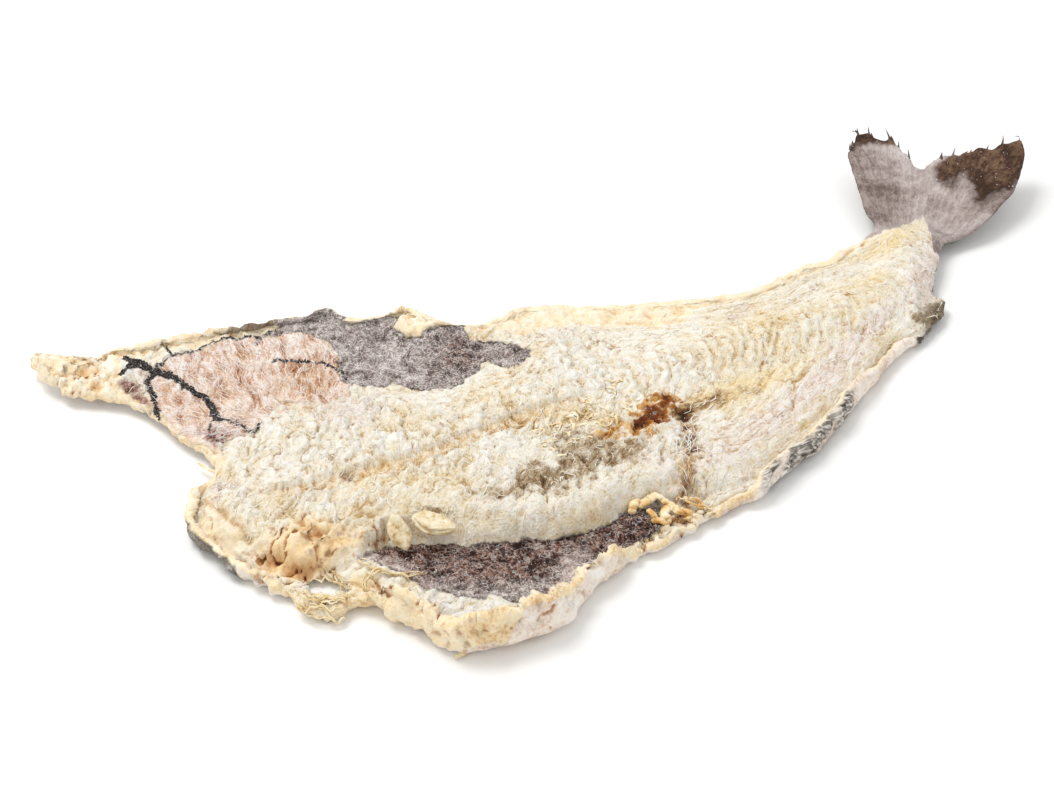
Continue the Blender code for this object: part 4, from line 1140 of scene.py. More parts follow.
    # The black lining: browner and darker on the right flap, mauve towards its rim, netted with white salt.
    dark = node(tree, "ValToRGB", {0: tone})
    fill_ramp(dark, ((0.18, "#150503"), (0.5, "#36160D"), (0.92, "#946A57")))
    brown = node(tree, "Attribute", attribute_name="brown").outputs["Fac"]
    brown = node(
        tree, "Math", {0: brown, 1: amounts["membrane"]}, operation="MULTIPLY", use_clamp=True
    ).outputs[0]
    base = node(tree, "Mix", {0: brown, 6: base, 7: dark.outputs[0]}, data_type="RGBA").outputs[2]
    mauve = node(tree, "ValToRGB", {0: tone})
    fill_ramp(mauve, ((0.05, "#5E3C34"), (0.45, "#A68C84"), (0.95, "#F0E4DC")))
    amount = node(tree, "Attribute", attribute_name="mauve").outputs["Fac"]
    amount = node(
        tree, "Math", {0: amount, 1: amounts["membrane"]}, operation="MULTIPLY", use_clamp=True
    ).outputs[0]
    base = node(tree, "Mix", {0: amount, 6: base, 7: mauve.outputs[0]}, data_type="RGBA").outputs[2]
    threads = []
    for scale, seed in ((210.0, 0.0), (330.0, 3.7)):
        wisp = node(
            tree, "TexNoise", {"Vector": place, "Scale": scale, "Detail": 2.0, "W": seed},
            noise_dimensions="4D",
        )
        thread = node(tree, "Math", {0: wisp.outputs[0], 1: 0.5}, operation="SUBTRACT").outputs[0]
        thread = node(tree, "Math", {0: thread}, operation="ABSOLUTE").outputs[0]
        threads.append(node(tree, "MapRange", {0: thread, 1: 0.028, 2: 0.004}).outputs[0])
    net = node(tree, "Math", {0: threads[0], 1: threads[1]}, operation="MAXIMUM").outputs[0]
    some = node(tree, "MapRange", {0: soft.outputs[0], 1: 0.4, 2: 0.54}).outputs[0]
    net = node(tree, "Math", {0: net, 1: some}, operation="MULTIPLY").outputs[0]
    specks = node(tree, "MapRange", {0: fine.outputs[0], 1: 0.6, 2: 0.72}).outputs[0]
    net = node(tree, "Math", {0: net, 1: specks}, operation="MAXIMUM").outputs[0]
    net = node(tree, "Math", {0: net, 1: amounts["membrane"]}, operation="MULTIPLY").outputs[0]
    thin = node(tree, "Math", {0: brown, 1: -0.45, 2: 0.95}, operation="MULTIPLY_ADD").outputs[0]
    net = node(tree, "Math", {0: net, 1: thin}, operation="MULTIPLY", use_clamp=True).outputs[0]
    base = node(tree, "Mix", {0: net, 6: base, 7: colour("#F2EBE6")}, data_type="RGBA").outputs[2]
    # The black crust, speckled with salt.
    crust = node(tree, "Attribute", attribute_name="crust").outputs["Fac"]
    crust = node(tree, "Math", {0: wander, 1: 0.8, 2: crust}, operation="MULTIPLY_ADD").outputs[0]
    crust = node(tree, "MapRange", {0: crust, 1: 0.15, 2: 0.4}).outputs[0]
    black = node(tree, "ValToRGB", {0: fine.outputs[0]})
    fill_ramp(black, ((0.36, "#15100E"), (0.5, "#3B3331"), (0.58, "#8D8682"), (0.66, "#F4F0EC")))
    base = node(tree, "Mix", {0: crust, 6: base, 7: black.outputs[0]}, data_type="RGBA").outputs[2]

    tree.links.new(base, shader.inputs["Base Color"])
    shader.inputs["Roughness"].default_value = 0.78
    shader.inputs["IOR"].default_value = 1.42
    shader.inputs["Specular IOR Level"].default_value = 0.35
    shader.inputs["Subsurface Weight"].default_value = 0.1
    shader.inputs["Subsurface Radius"].default_value = (1.0, 0.6, 0.35)
    shader.inputs["Subsurface Scale"].default_value = 0.0015
    crumbs = node(tree, "TexVoronoi", {"Vector": place, "Scale": 600.0, "Randomness": 1.0}, feature="F1")
    height = node(tree, "Math", {0: crumbs.outputs[0], 1: -0.4, 2: fine.outputs[0]}, operation="MULTIPLY_ADD")
    height = node(tree, "Math", {0: fibre, 1: 0.9, 2: height.outputs[0]}, operation="MULTIPLY_ADD")
    height = node(tree, "Math", {0: soft.outputs[0], 1: 1.6, 2: height.outputs[0]}, operation="MULTIPLY_ADD")
    grip = node(tree, "Math", {0: glaze, 1: -0.5, 2: 1.0}, operation="MULTIPLY_ADD").outputs[0]
    bump = node(tree, "Bump", {"Height": height.outputs[0], "Strength": grip, "Distance": 0.0011})
    tree.links.new(bump.outputs[0], shader.inputs["Normal"])
    return material


def skin_material():
    """Salted cod skin, dried on: leathery, olive grey along the back, pale on the belly, hazed with salt."""
    material, tree, shader = start_material("salted_scaly_skin")
    place = node(tree, "TexCoord").outputs["Object"]
    broad = node(tree, "TexNoise", {"Vector": place, "Scale": 60.0, "Detail": 5.0, "Roughness": 0.6})
    fine = node(tree, "TexNoise", {"Vector": place, "Scale": 500.0, "Detail": 4.0, "Roughness": 0.7})
    tone = node(
        tree, "Math", {0: fine.outputs[0], 1: 0.8, 2: broad.outputs[0]}, operation="MULTIPLY_ADD"
    ).outputs[0]
    tone = node(tree, "MapRange", {0: tone, 1: 0.62, 2: 1.15}).outputs[0]
    base = node(tree, "ValToRGB", {0: tone})
    fill_ramp(base, ((0.0, "#2E2923"), (0.4, "#665D50"), (0.7, "#8F8678"), (1.0, "#DAD4CA")))
    base = base.outputs[0]
    zones = (
        ("belly", 0.2, 0.6, ("#D2B093", "#F4E4D2", "#FFFCF6")),
        ("streaked", 0.35, 1.0, ("#3A342D", "#857B6F", "#EFEAE3")),
        ("cut_edge", 0.3, 0.8, ("#DDB075", "#FAE3B8", "#FFF4DC")),
        # Painted shade: brown in the creases of the crumpled folds.
        ("fold_shade", 0.25, 0.9, ("#8A5530", "#C2926A", "#EFD6B8")),
    )
    along = node(
        tree, "Mapping", {"Vector": place, "Rotation": (0.0, 0.0, -0.42), "Scale": (70.0, 900.0, 420.0)}
    )
    lines = node(
        tree, "TexNoise", {"Vector": along.outputs[0], "Scale": 1.0, "Detail": 5.0, "Distortion": 0.25}
    )
    lines = node(tree, "MapRange", {0: lines.outputs[0], 1: 0.32, 2: 0.66}).outputs[0]
    wander = node(tree, "Math", {0: broad.outputs[0], 1: 0.5}, operation="SUBTRACT").outputs[0]
    for name, low, high, codes in zones:
        grain = lines if name == "streaked" else tone
        base, _ = tint_over(tree, base, name, (low, high), wander, 1.6, grain, codes)
    tree.links.new(base, shader.inputs["Base Color"])
    shader.inputs["Roughness"].default_value = 0.62
    shader.inputs["IOR"].default_value = 1.42
    scales = node(tree, "TexVoronoi", {"Vector": place, "Scale": 480.0, "Randomness": 0.7}, feature="F1")
    height = node(tree, "Math", {0: scales.outputs[0], 1: -0.5, 2: fine.outputs[0]}, operation="MULTIPLY_ADD")
    height = node(tree, "Math", {0: broad.outputs[0], 1: 4.0, 2: height.outputs[0]}, operation="MULTIPLY_ADD")
    bump = node(tree, "Bump", {"Height": height.outputs[0], "Strength": 0.9, "Distance": 0.0009})
    tree.links.new(bump.outputs[0], shader.inputs["Normal"])
    return material


# The middle of the fish in the plan, which is the frame's origin, and the gap kept to its solid's box.
PLAN_ORIGIN = np.array((303.8698, 25.4491, 0.0))
BOX_GAP = 0.02


def make_piece(name, corners, faces, *materials):
    """A mesh piece from plan millimetres, smooth, riding on the only body."""
    mesh = bpy.data.meshes.new(name)
    mesh.from_pydata(((corners - PLAN_ORIGIN) / 1000.0).tolist(), [], faces.tolist())
    mesh.shade_smooth()
    for material in materials:
        mesh.materials.append(material)
    piece = bpy.data.objects.new(name, mesh)
    bpy.context.scene.collection.objects.link(piece)
    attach(piece, "root")
    return piece


def paint_amount(mesh, name, values):
    """Gives every corner of a mesh its named amount, for the material to read."""
    mesh.attributes.new(name, "FLOAT", "POINT").data.foreach_set("value", values.astype(np.float32))


def make_sheet():
    """The fish's body as one closed mesh, flesh material above and skin material below."""
    corners, faces, plan, used, paint, crease, way, along, top_count = cod_corners()
    low, high = (np.array(v) * 1000.0 + PLAN_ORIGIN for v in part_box("split_cod"))
    corners = np.clip(corners, low + BOX_GAP, high - BOX_GAP)
    piece = make_piece("cod_body", corners, faces, flesh_material(), skin_material())
    mesh = piece.data
    slots = np.zeros(len(faces), np.int32)
    slots[top_count:] = 1
    mesh.polygons.foreach_set("material_index", slots)
    tops = used < len(top_plan)
    for name, values in paint.items():
        full = np.zeros(len(used))
        full[tops] = values[used[tops]]
        paint_amount(mesh, name, full)
    long_way = np.stack([way[:, 2], along, 0 * along], 1)
    for name, values in (("grain", way), ("long_grain", long_way)):
        full = np.zeros((len(used), 3))
        full[tops] = values[used[tops]] / 1000.0
        mesh.attributes.new(name, "FLOAT_VECTOR", "POINT").data.foreach_set(
            "vector", full.ravel().astype(np.float32)
        )
    depth, _ = nearest(RIM, plan)
    wide = 5.5 + 16.0 * smooth_steps((112 - plan[:, 0]) / 16) * (plan[:, 1] < -60)
    neck = smooth_steps((12 - plan[:, 0]) / 8) * smooth_steps((34 - np.abs(plan[:, 1] + 6)) / 12)
    wide = wide - 3.2 * smooth_steps((plan[:, 0] - 276) / 14) * (plan[:, 1] < 0) - 2.0 * neck
    wide = wide * (1 - smooth_steps((plan[:, 0] - BARE_END) / 30) * (plan[:, 1] < middle_y(plan[:, 0])))
    cut_edge = smooth_steps((wide - reach_inside(plan)) / 4.0) * (1 - fin_place(plan)[2])
    paint_amount(mesh, "cut_edge", cut_edge)
    belly = smooth_steps((95 - depth) / 60) * smooth_steps((300 - plan[:, 0]) / 60)
    belly = np.maximum(belly, 0.75 * smooth_steps((26 - depth) / 16) * smooth_steps((470 - plan[:, 0]) / 30))
    belly = belly * (1 - neck)
    paint_amount(mesh, "belly", belly)
    streaked = smooth_steps(
        (plan[:, 0] - 270) / 30
    ) * smooth_steps((402 - plan[:, 0]) / 30) * (plan[:, 1] < 0)
    streaked = streaked * (0.95 + 0.75 * grains(plan, (26.0, 7.0), 143))
    paint_amount(mesh, "streaked", streaked)
    # How deep in a crease of the crumpled folds each corner lies, painted as shade.
    paint_amount(mesh, "fold_shade", crease)
    # Its own flat map: the plan itself, flesh side above and skin side below.
    size = plan.max(0) - plan.min(0)
    flat = (plan - plan.min(0)) / size.max() * 0.96 + 0.01
    spots = flat[faces.ravel()]
    side = np.repeat(slots, 3)
    spots[:, 1] = spots[:, 1] * 0.8 + np.where(side == 0, 0.5, 0.0)
    mesh.uv_layers.new(name="OFBake").data.foreach_set("uv", spots.ravel().astype(np.float32))
    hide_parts("split_cod")
    return piece, corners, faces[:top_count], plan, {name: mesh_values(mesh, name) for name in paint}


def mesh_values(mesh, name):
    """One of a mesh's named amounts, for all its corners."""
    values = np.zeros(len(mesh.vertices), np.float32)
    mesh.attributes[name].data.foreach_get("value", values)
    return values


cod_body, cod_corners_mm, cod_top, cod_plan, cod_paint = make_sheet()

# --- Gristle knobs ----------------------------------------------------------------------------------
# Two loose knobs of gristle left from the collar, which sit where the right loin drops to its flap. They
# dried hard and yellowish, wrinkled along their length, with a crack across the larger one.


def mottled(name, scale, stops, roughness, bump_mm):
    """A material whose colour runs through its stops in grains about 1 / scale metres wide, pitted alike."""
    material, tree, shader = start_material(name)
    place = node(tree, "TexCoord").outputs["Object"]
    grain = node(
        tree, "TexNoise", {"Vector": place, "Scale": scale, "Detail": 5.0, "Roughness": 0.65}
    ).outputs[0]
    # The same grain drives colour and bump: the darker stops lie in the pits as painted shade and the lighter
    # on the bumps as painted highlight, over the grain's own mottling.
    ramp = node(tree, "ValToRGB", {0: grain})
    fill_ramp(ramp, stops)
    tree.links.new(ramp.outputs[0], shader.inputs["Base Color"])
    shader.inputs["Roughness"].default_value = roughness
    shader.inputs["IOR"].default_value = 1.44
    shader.inputs["Subsurface Weight"].default_value = 0.15
    shader.inputs["Subsurface Radius"].default_value = (1.0, 0.6, 0.35)
    shader.inputs["Subsurface Scale"].default_value = 0.0015
    bump = node(tree, "Bump", {"Height": grain, "Strength": 1.0, "Distance": bump_mm / 1000})
    tree.links.new(bump.outputs[0], shader.inputs["Normal"])
    return material


# Collar gristle, dried hard in the air: waxy and yellowish, with a dull shine, brown in the pits of its grain
# as painted shade.
gristle = mottled(
    "dried_collar_gristle",
    230.0,
    ((0.32, "#A87F42"), (0.42, "#D8C090"), (0.54, "#EBDDBC"), (0.7, "#F6ECD6")),
    0.5,
    1.2,
)
# For each: half-length, half-width, half-height, heading and pitch in degrees, where its groove runs round
# it in radians, and how deep.
KNOB_SHAPES = {
    "collar_knob_large": (13.4, 7.4, 5.6, -44.0, -8.0, -1.15, 0.34),
    "collar_knob_small": (10.8, 6.2, 5.4, 90.0, 40.0, 0.25, 0.22),
}


def make_knob(name):
    """A spindle of gristle, pointed at both ends, flat on top, inside the box of its solid."""
    half_long, half_wide, half_tall, heading, pitch, groove_at, groove_deep = KNOB_SHAPES[name]
    rings, sides = 52, 60
    t = np.linspace(0.03, math.pi - 0.03, rings)[:, None]
    a = np.linspace(-math.pi, math.pi, sides, endpoint=False)[None, :]
    girth = np.sin(t) ** 1.2 * (1 + 0.12 * np.cos(t))
    groove = np.exp(-(((a - groove_at - 0.35 * np.cos(2.2 * t)) / 0.13) ** 2)) * np.sin(t) ** 0.5
    girth = girth * (1 - groove_deep * groove)
    long, wide, tall = -np.cos(t) + 0 * a, girth * np.sin(a), girth * np.cos(a)
    tall = np.where(tall > 0, 0.66 * np.tanh(tall / 0.6), tall)
    shape = np.stack([long.ravel(), wide.ravel(), tall.ravel()], 1)
    for i, corner in enumerate(shape):
        at = Vector(corner) * 1.5 + Vector((heading, 0.0, 0.0))
        shape[i] *= 0.95 + 0.10 * noise.noise(at) + 0.06 * noise.noise(
            at * 2.9
        ) + 0.03 * noise.noise(at * 8.0)
    shape[:, 2] += 0.12 * shape[:, 0] ** 2 - 0.05
    h, p = math.radians(heading), math.radians(pitch)
    long_way = np.array((math.cos(h) * math.cos(p), math.sin(h) * math.cos(p), math.sin(p)))
    wide_way = np.array((-math.sin(h), math.cos(h), 0.0))
    tall_way = np.cross(long_way, wide_way)
    low, high = (np.array(v) * 1000.0 + PLAN_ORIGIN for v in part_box(name))
    corners = (low + high) / 2 + (
        shape[
            :, 0:1
        ] * half_long * long_way + shape[:, 1:2] * half_wide * wide_way + shape[:, 2:3] * half_tall * tall_way
    )
    faces = []
    for ring in range(rings - 1):
        for side in range(sides):
            p, q = ring * sides + side, ring * sides + (side + 1) % sides
            faces += [(p, q + sides, q), (p, p + sides, q + sides)]
    last = (rings - 1) * sides
    for k in range(1, sides - 1):
        faces += [(0, k, k + 1), (last, last + k + 1, last + k)]
    piece = make_piece(
        name + "_gristle", np.clip(corners, low + BOX_GAP, high - BOX_GAP), np.array(faces), gristle
    )
    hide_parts(name)


make_knob("collar_knob_large")
make_knob("collar_knob_small")

# --- Loose fibres -----------------------------------------------------------------------------------
# Muscle fibres that came away when the fish was split, and the strings of the flap's lining: white, hair
# thin and stuck down by the drying, most of them nearly flat, a few standing off.

cod_tree = BVHTree.FromPolygons([(x, y, 0.0) for x, y in cod_plan.tolist()], cod_top.tolist())
cod_normals = np.zeros(3 * len(cod_plan), np.float32)
cod_body.data.vertices.foreach_get("normal", cod_normals)
cod_normals = cod_normals.reshape(-1, 3).astype(float)


def on_flesh(points):
    """Where plan points lie on the finished flesh side, which way it faces, and a corner beside each."""
    face = np.array([cod_tree.find_nearest((x, y, 0.0))[2] for x, y in points])
    a, b, c = cod_top[face].T
    p, q, r = cod_plan[a], cod_plan[b], cod_plan[c]
    area = (q[:, 0] - p[:, 0]) * (r[:, 1] - p[:, 1]) - (r[:, 0] - p[:, 0]) * (q[:, 1] - p[:, 1])
    v = (
        (points[:, 0] - p[:, 0]) * (r[:, 1] - p[:, 1]) - (r[:, 0] - p[:, 0]) * (points[:, 1] - p[:, 1])
    ) / area
    w = (
        (q[:, 0] - p[:, 0]) * (points[:, 1] - p[:, 1]) - (points[:, 0] - p[:, 0]) * (q[:, 1] - p[:, 1])
    ) / area
    v, w = np.clip(v, 0, 1)[:, None], np.clip(w, 0, 1)[:, None]
    u = 1 - v - w
    place = cod_corners_mm[a] * u + cod_corners_mm[b] * v + cod_corners_mm[c] * w
    facing = cod_normals[a] * u + cod_normals[b] * v + cod_normals[c] * w
    return place, facing / np.linalg.norm(facing, axis=1, keepdims=True), a


def strands(paths, ups, half_widths, half_heights, sides):
    """Closed strands along paths, n by rings by 3: corners and triangles, oval in section."""
    tangent = np.gradient(paths, axis=1)
    side = np.cross(ups, tangent)
    side /= np.maximum(np.linalg.norm(side, axis=2, keepdims=True), 1e-9)
    up = np.cross(tangent, side)
    up /= np.maximum(np.linalg.norm(up, axis=2, keepdims=True), 1e-9)
    turn = 2 * math.pi * (np.arange(sides) + 0.5) / sides
    across = side[:, :, None] * np.cos(turn)[:, None] * half_widths[:, :, None, None]
    upright = up[:, :, None] * np.sin(turn)[:, None] * half_heights[:, :, None, None]
    corners = (paths[:, :, None] + across + upright).reshape(-1, 3)
    index = np.arange(len(corners)).reshape(len(paths), -1, sides)
    a, d = index[:, :-1], index[:, 1:]
    b, c = np.roll(a, -1, 2), np.roll(d, -1, 2)
    faces = [np.stack([a, b, c], -1).reshape(-1, 3), np.stack([a, c, d], -1).reshape(-1, 3)]
    for k in range(1, sides - 1):
        faces.append(np.stack([index[:, 0, 0], index[:, 0, k + 1], index[:, 0, k]], 1))
        faces.append(np.stack([index[:, -1, 0], index[:, -1, k], index[:, -1, k + 1]], 1))
    return corners, np.vstack(faces)


def laid_strands(roots, ways, lengths, bends, lifts, half_width, half_height, rings, sides):
    """Strands that lie along the flesh side: each about its root, along its way, bent, and lifted midway."""
    t = np.linspace(0.0, 1.0, rings)[None, :]
    heading = ways[:, None] + bends[:, None] * (t - 0.5)
    step = lengths[:, None] / (rings - 1)
    plan = np.stack([np.cumsum(np.cos(heading) * step, 1), np.cumsum(np.sin(heading) * step, 1)], -1)
    plan = plan - plan.mean(1, keepdims=True) + roots[:, None]
    place, facing, _ = on_flesh(plan.reshape(-1, 2))
    place, facing = place.reshape(len(roots), rings, 3), facing.reshape(len(roots), rings, 3)
    arch = np.sin(math.pi * t) ** 0.7
    place = place + facing * (0.12 + lifts[:, None] * arch)[..., None]
    taper = 0.35 + 0.65 * np.sin(math.pi * (0.12 + 0.76 * t))
    return strands(place, facing, half_width[:, None] * taper, half_height[:, None] * taper, sides)


def scattered(count, low, high, seed):
    """Random plan points over a box."""
    return np.random.default_rng(seed).uniform(low, high, (count, 2))


def kept_inside(corners):
    """The corners held inside the box of the fish's solid."""
    low, high = (np.array(v) * 1000.0 + PLAN_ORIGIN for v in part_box("split_cod"))
    return np.clip(corners, low + BOX_GAP, high - BOX_GAP)


def stuck_on(name, corners, faces, material):
    """A piece that stands for part of the fish's body, with a flat map straight down."""
    piece = make_piece(name, kept_inside(corners), faces, material)
    flat = (corners[:, :2] - PLAN_ORIGIN[:2]) / 700.0 + 0.5
    piece.data.uv_layers.new(name="OFBake").data.foreach_set(
        "uv", flat[faces.ravel()].ravel().astype(np.float32)
    )
    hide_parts("split_cod")
    return piece


def muscle_fibres():
    """Short cream fibres all over the loins and the tail."""
    random = np.random.default_rng(211)
    roots = scattered(15000, (-5, -110), (520, 150), 212)
    _, _, corner = on_flesh(roots)
    clear = inside(edge_line, roots) & (
        cod_paint["membrane"][corner] < -2
    ) & (cod_paint["lining"][corner] < 0)
    clear &= (cod_paint["fin"][corner] < 0.05) & (cod_paint["blood"][corner] < 0.2) & (
        cod_paint["glaze"][corner] < 0.45
    )
    roots = roots[clear][:1300]
    count = len(roots)
    left = roots[:, 1] - middle_y(roots[:, 0])
    ways = np.where(left < 0, math.radians(52), math.radians(75)) + random.normal(0, 0.6, count)
    side_band = (roots[:, 0] > 270) & (np.abs(left) > 24)
    ways = np.where(side_band, math.radians(14) + random.normal(0, 0.3, count), ways)
    return laid_strands(
        roots, ways, random.uniform(2.5, 9.0, count), random.normal(0, 1.3, count),
        random.uniform(0.0, 0.9, count), random.uniform(0.16, 0.42, count), random.uniform(0.1, 0.2, count),
        6, 4,
    )


def lining_strings():
    """Long white strings of the left flap's lining, and the ones that fan out over the loin beside it."""
    random = np.random.default_rng(221)
    roots = scattered(7000, (8, 22), (140, 160), 222)
    _, _, corner = on_flesh(roots)
    over_loin = patches(roots, BLUSH_TINTS[:1])
    wanted = (cod_paint["lining"][corner] > 0) | (over_loin > random.uniform(0.3, 1.0, len(roots)))
    wanted &= (cod_paint["membrane"][corner] < 0) & (cod_paint["crust"][corner] < 0.1)
    roots = roots[wanted][:520]
    count = len(roots)
    ways = np.arctan2(roots[:, 1] - 40, roots[:, 0] - 88) + random.normal(0, 0.42, count)
    return laid_strands(
        roots, ways, random.uniform(3.0, 13.0, count), random.normal(0, 0.8, count),
        random.uniform(0.0, 0.3, count), random.uniform(0.12, 0.28, count), random.uniform(0.1, 0.2, count),
        8, 4,
    )


def vent_strings():
    """A tuft of longer white strings across the vent."""
    random = np.random.default_rng(231)
    roots = np.stack([random.normal(268, 4, 22), random.normal(-66, 8, 22)], 1)
    ways = math.radians(65) + random.normal(0, 0.55, 22)
    return laid_strands(
        roots, ways, random.uniform(8.0, 17.0, 22), random.normal(0, 1.2, 22),
        random.uniform(0.3, 1.6, 22), random.uniform(0.2, 0.4, 22), random.uniform(0.15, 0.25, 22), 8, 4,
    )


def salt_threads():
    """White threads of salt and slime that dried in a net over the black lining."""
    random = np.random.default_rng(235)
    roots = scattered(9000, (55, -155), (240, 165), 236)
    _, _, corner = on_flesh(roots)
    roots = roots[
        (cod_paint["membrane"][corner] > 1.0) & (
            grains(roots, 9.0, 237) > random.uniform(-0.6, 0.4, len(roots))
        )
    ]
    roots = roots[patches(roots, BROWN_TINTS) < random.uniform(0.4, 2.2, len(roots))][:1400]
    count = len(roots)
    ways = random.uniform(0, 2 * math.pi, count)
    return laid_strands(
        roots, ways, random.uniform(1.2, 4.5, count), random.normal(0, 0.9, count),
        random.uniform(0.0, 0.1, count), random.uniform(0.08, 0.2, count),
        random.uniform(0.08, 0.15, count), 5, 3,
    )


# Muscle fibre, teased out and air-dried: cream to white, matt, a little see-through.
fibre_white = mottled(
    "white_muscle_fibre", 300.0, ((0.3, "#EAD9B6"), (0.5, "#FBF3E2"), (0.7, "#FFFDF8")), 0.6, 0.1
)
# Strings of the lining and threads of salt, dried on: whiter and cooler than the flesh under them.
string_white = mottled(
    "white_lining_string", 300.0, ((0.3, "#EFDCCF"), (0.5, "#FCF3EC"), (0.7, "#FFFFFF")), 0.6, 0.1
)
stuck_on("muscle_fibres", *muscle_fibres(), fibre_white)
stuck_on("lining_strings", *lining_strings(), string_white)
stuck_on("vent_strings", *vent_strings(), string_white)
stuck_on("salt_threads", *salt_threads(), string_white)

# --- Torn shreds and strands ------------------------------------------------------------------------
# Strips of belly wall and membrane torn by the gutting knife and curled by the drying: yellowish and half
# clear, by the vent, over the backbone's cut, round the collar's hole and under the right flap.


def curled_shreds():
    """Short curled shavings heaped beside the blood stain."""
    random = np.random.default_rng(241)
    roots = np.stack([random.uniform(188, 262, 150), random.uniform(-50, 2, 150)], 1)
    roots = roots[np.abs(roots[:, 1] + 26 - 0.35 * (roots[:, 0] - 222)) < 15]
    count = len(roots)
    return laid_strands(
        roots, random.uniform(0, 2 * math.pi, count), random.uniform(3, 8, count),
        random.normal(0, 2.6, count),
        random.uniform(0.1, 0.9, count), random.uniform(0.3, 1.1, count), random.uniform(0.2, 0.4, count),
        9, 6,
    )


# Bundles of strands, each through (x, y, lift over the flesh side): how many strands, how far they spread,
# half-width and half-height of one.
VENT_CURLS = (
    (1, 0.2, 4.2, 2.6, ((211, -98, 2.6), (215, -93, 4.4), (221, -91.5, 5.6), (228, -94, 5.8))),
    (
        1, 0.2, 3.8, 2.3,
        (
            (227, -94, 5.6), (231, -99, 5.4), (231, -106, 4.8), (226, -110, 4.2), (220, -108, 4.0),
            (219, -102, 4.6),
        ),
    ),
    (2, 0.8, 3.0, 1.3, ((229, -104, 4.4), (233, -111, 4.0), (238, -118, 3.0), (240, -124, 2.0))),
    (5, 1.2, 0.5, 0.4, ((240, -98, 2.6), (244, -106, 2.8), (247, -114, 2.4), (250, -121, 1.6))),
    (3, 1.8, 0.3, 0.3, ((256, -84, 1.0), (252, -92, 1.6), (250, -99, 1.2))),
)
COLLAR_STRANDS = (
    (5, 0.8, 0.4, 0.3, ((46, -54, 1), (49, -62, 1.6), (52, -71, 2), (56, -78, 1.5))),
    (4, 0.8, 0.35, 0.3, ((37, -58, 0.6), (43, -66, 2.0), (49, -75, 1.4))),
    (6, 0.8, 0.45, 0.35, ((52, -84, 1), (57, -76, 2.4), (63, -72, 2.6), (72, -74, 2.0), (80, -80, 1.2))),
    (9, 1.6, 0.5, 0.35, ((22, -70, 1), (25, -78, 1.6), (31, -84, 1.6), (38, -85, 1.0))),
    (9, 1.6, 0.5, 0.35, ((29, -72, 1), (33, -79, 1.8), (39, -83, 1.8), (46, -82, 1.0))),
    (5, 1.0, 0.35, 0.3, ((60, -62, 1), (66, -70, 1.4), (76, -76, 1.2), (88, -82, 0.8))),
)
# Free strands, through points given in space.
FREE_STRANDS = (
    (
        3, 0.5, 1.5, 1.2,
        (
            (93, -134, 10), (92, -137, 6.5), (89, -140, 3.5), (85, -142, 2.2), (79, -143, 1.8),
            (75, -143.5, 1.6),
        ),
    ),
    (3, 0.4, 0.6, 0.5, ((36, 43, 8.0), (30, 47, 7.0), (25, 54, 5.8), (22, 61, 5.0), (21, 66, 4.6))),
)


def bundle(seed, on_surface, count, spread, half_width, half_height, line):
    """Strands side by side along one smooth curve, each lumpy, shifted a little and tapered at its ends."""
    random = np.random.default_rng(seed)
    path = curve_through(line, 0.9, closed=False)
    t = np.linspace(0.0, 1.0, len(path))
    parts = []
    for _ in range(count):
        start, sway = random.normal(0, spread, (2, 3)) * (1.0, 1.0, 0.4)
        shifted = path + start + sway * np.sin(2.5 * t[:, None] + random.uniform(0, 6)) * 0.8
        if on_surface:
            place, facing, _ = on_flesh(shifted[:, :2])
            shifted = place + facing * np.maximum(shifted[:, 2:3], 0.2)
        lumpy = 1 + 0.12 * np.sin(17 * t + random.uniform(0, 6)) + 0.07 * np.sin(47 * t)
        lumpy = lumpy * (0.4 + 0.6 * np.sin(math.pi * (0.08 + 0.84 * t)) ** 0.5) * random.uniform(0.6, 1.15)
        up = np.zeros((1, len(path), 3)) + (0.0, 0.0, 1.0)
        parts.append(strands(shifted[None], up, half_width * lumpy[None], half_height * lumpy[None], 8))
    return joined(parts)


def joined(parts):
    """Several meshes as one: corners and triangles."""
    corners, faces, start = [], [], 0
    for part_corners, part_faces in parts:
        corners.append(part_corners)
        faces.append(part_faces + start)
        start += len(part_corners)
    return np.vstack(corners), np.vstack(faces)


# Shavings of flesh, torn and dried: cream and matt, tan in the pits of their grain as painted shade.
shred_cream = mottled(
    "dried_flesh_shaving", 170.0,
    ((0.3, "#CFA25C"), (0.45, "#F2DCAC"), (0.6, "#FCF2D8"), (0.75, "#FFFBF2")), 0.6, 0.8
)
# Strips of belly wall, torn and dried: yellower and smoother than flesh.
shred_yellow = mottled(
    "dried_belly_shred", 170.0, ((0.3, "#B98443"), (0.45, "#EBD09A"), (0.6, "#FAECCB"), (0.75, "#FFF8EA")),
    0.5, 0.8
)
# Membrane curled up and dried like glue, with a soft shine: amber in the pits of its grain as painted shade,
# pale on its bumps as painted highlight.
curl_amber = mottled(
    "dried_amber_membrane", 110.0,
    ((0.3, "#B0702A"), (0.43, "#E3B571"), (0.55, "#F5DDAE"), (0.72, "#FDF3E0")), 0.42, 0.9
)
stuck_on("curled_shreds", *curled_shreds(), shred_cream)
stuck_on("vent_curls", *joined([bundle(245 + i, True, *b) for i, b in enumerate(VENT_CURLS)]), curl_amber)
collar_parts = [bundle(301 + i, True, *b) for i, b in enumerate(COLLAR_STRANDS)]
collar_parts += [bundle(321 + i, False, *b) for i, b in enumerate(FREE_STRANDS)]
stuck_on("collar_strands", *joined(collar_parts), shred_yellow)

# --- Dried black crust ------------------------------------------------------------------------------
# What is left of the black belly lining where it rubbed up into lines: brittle black chips.


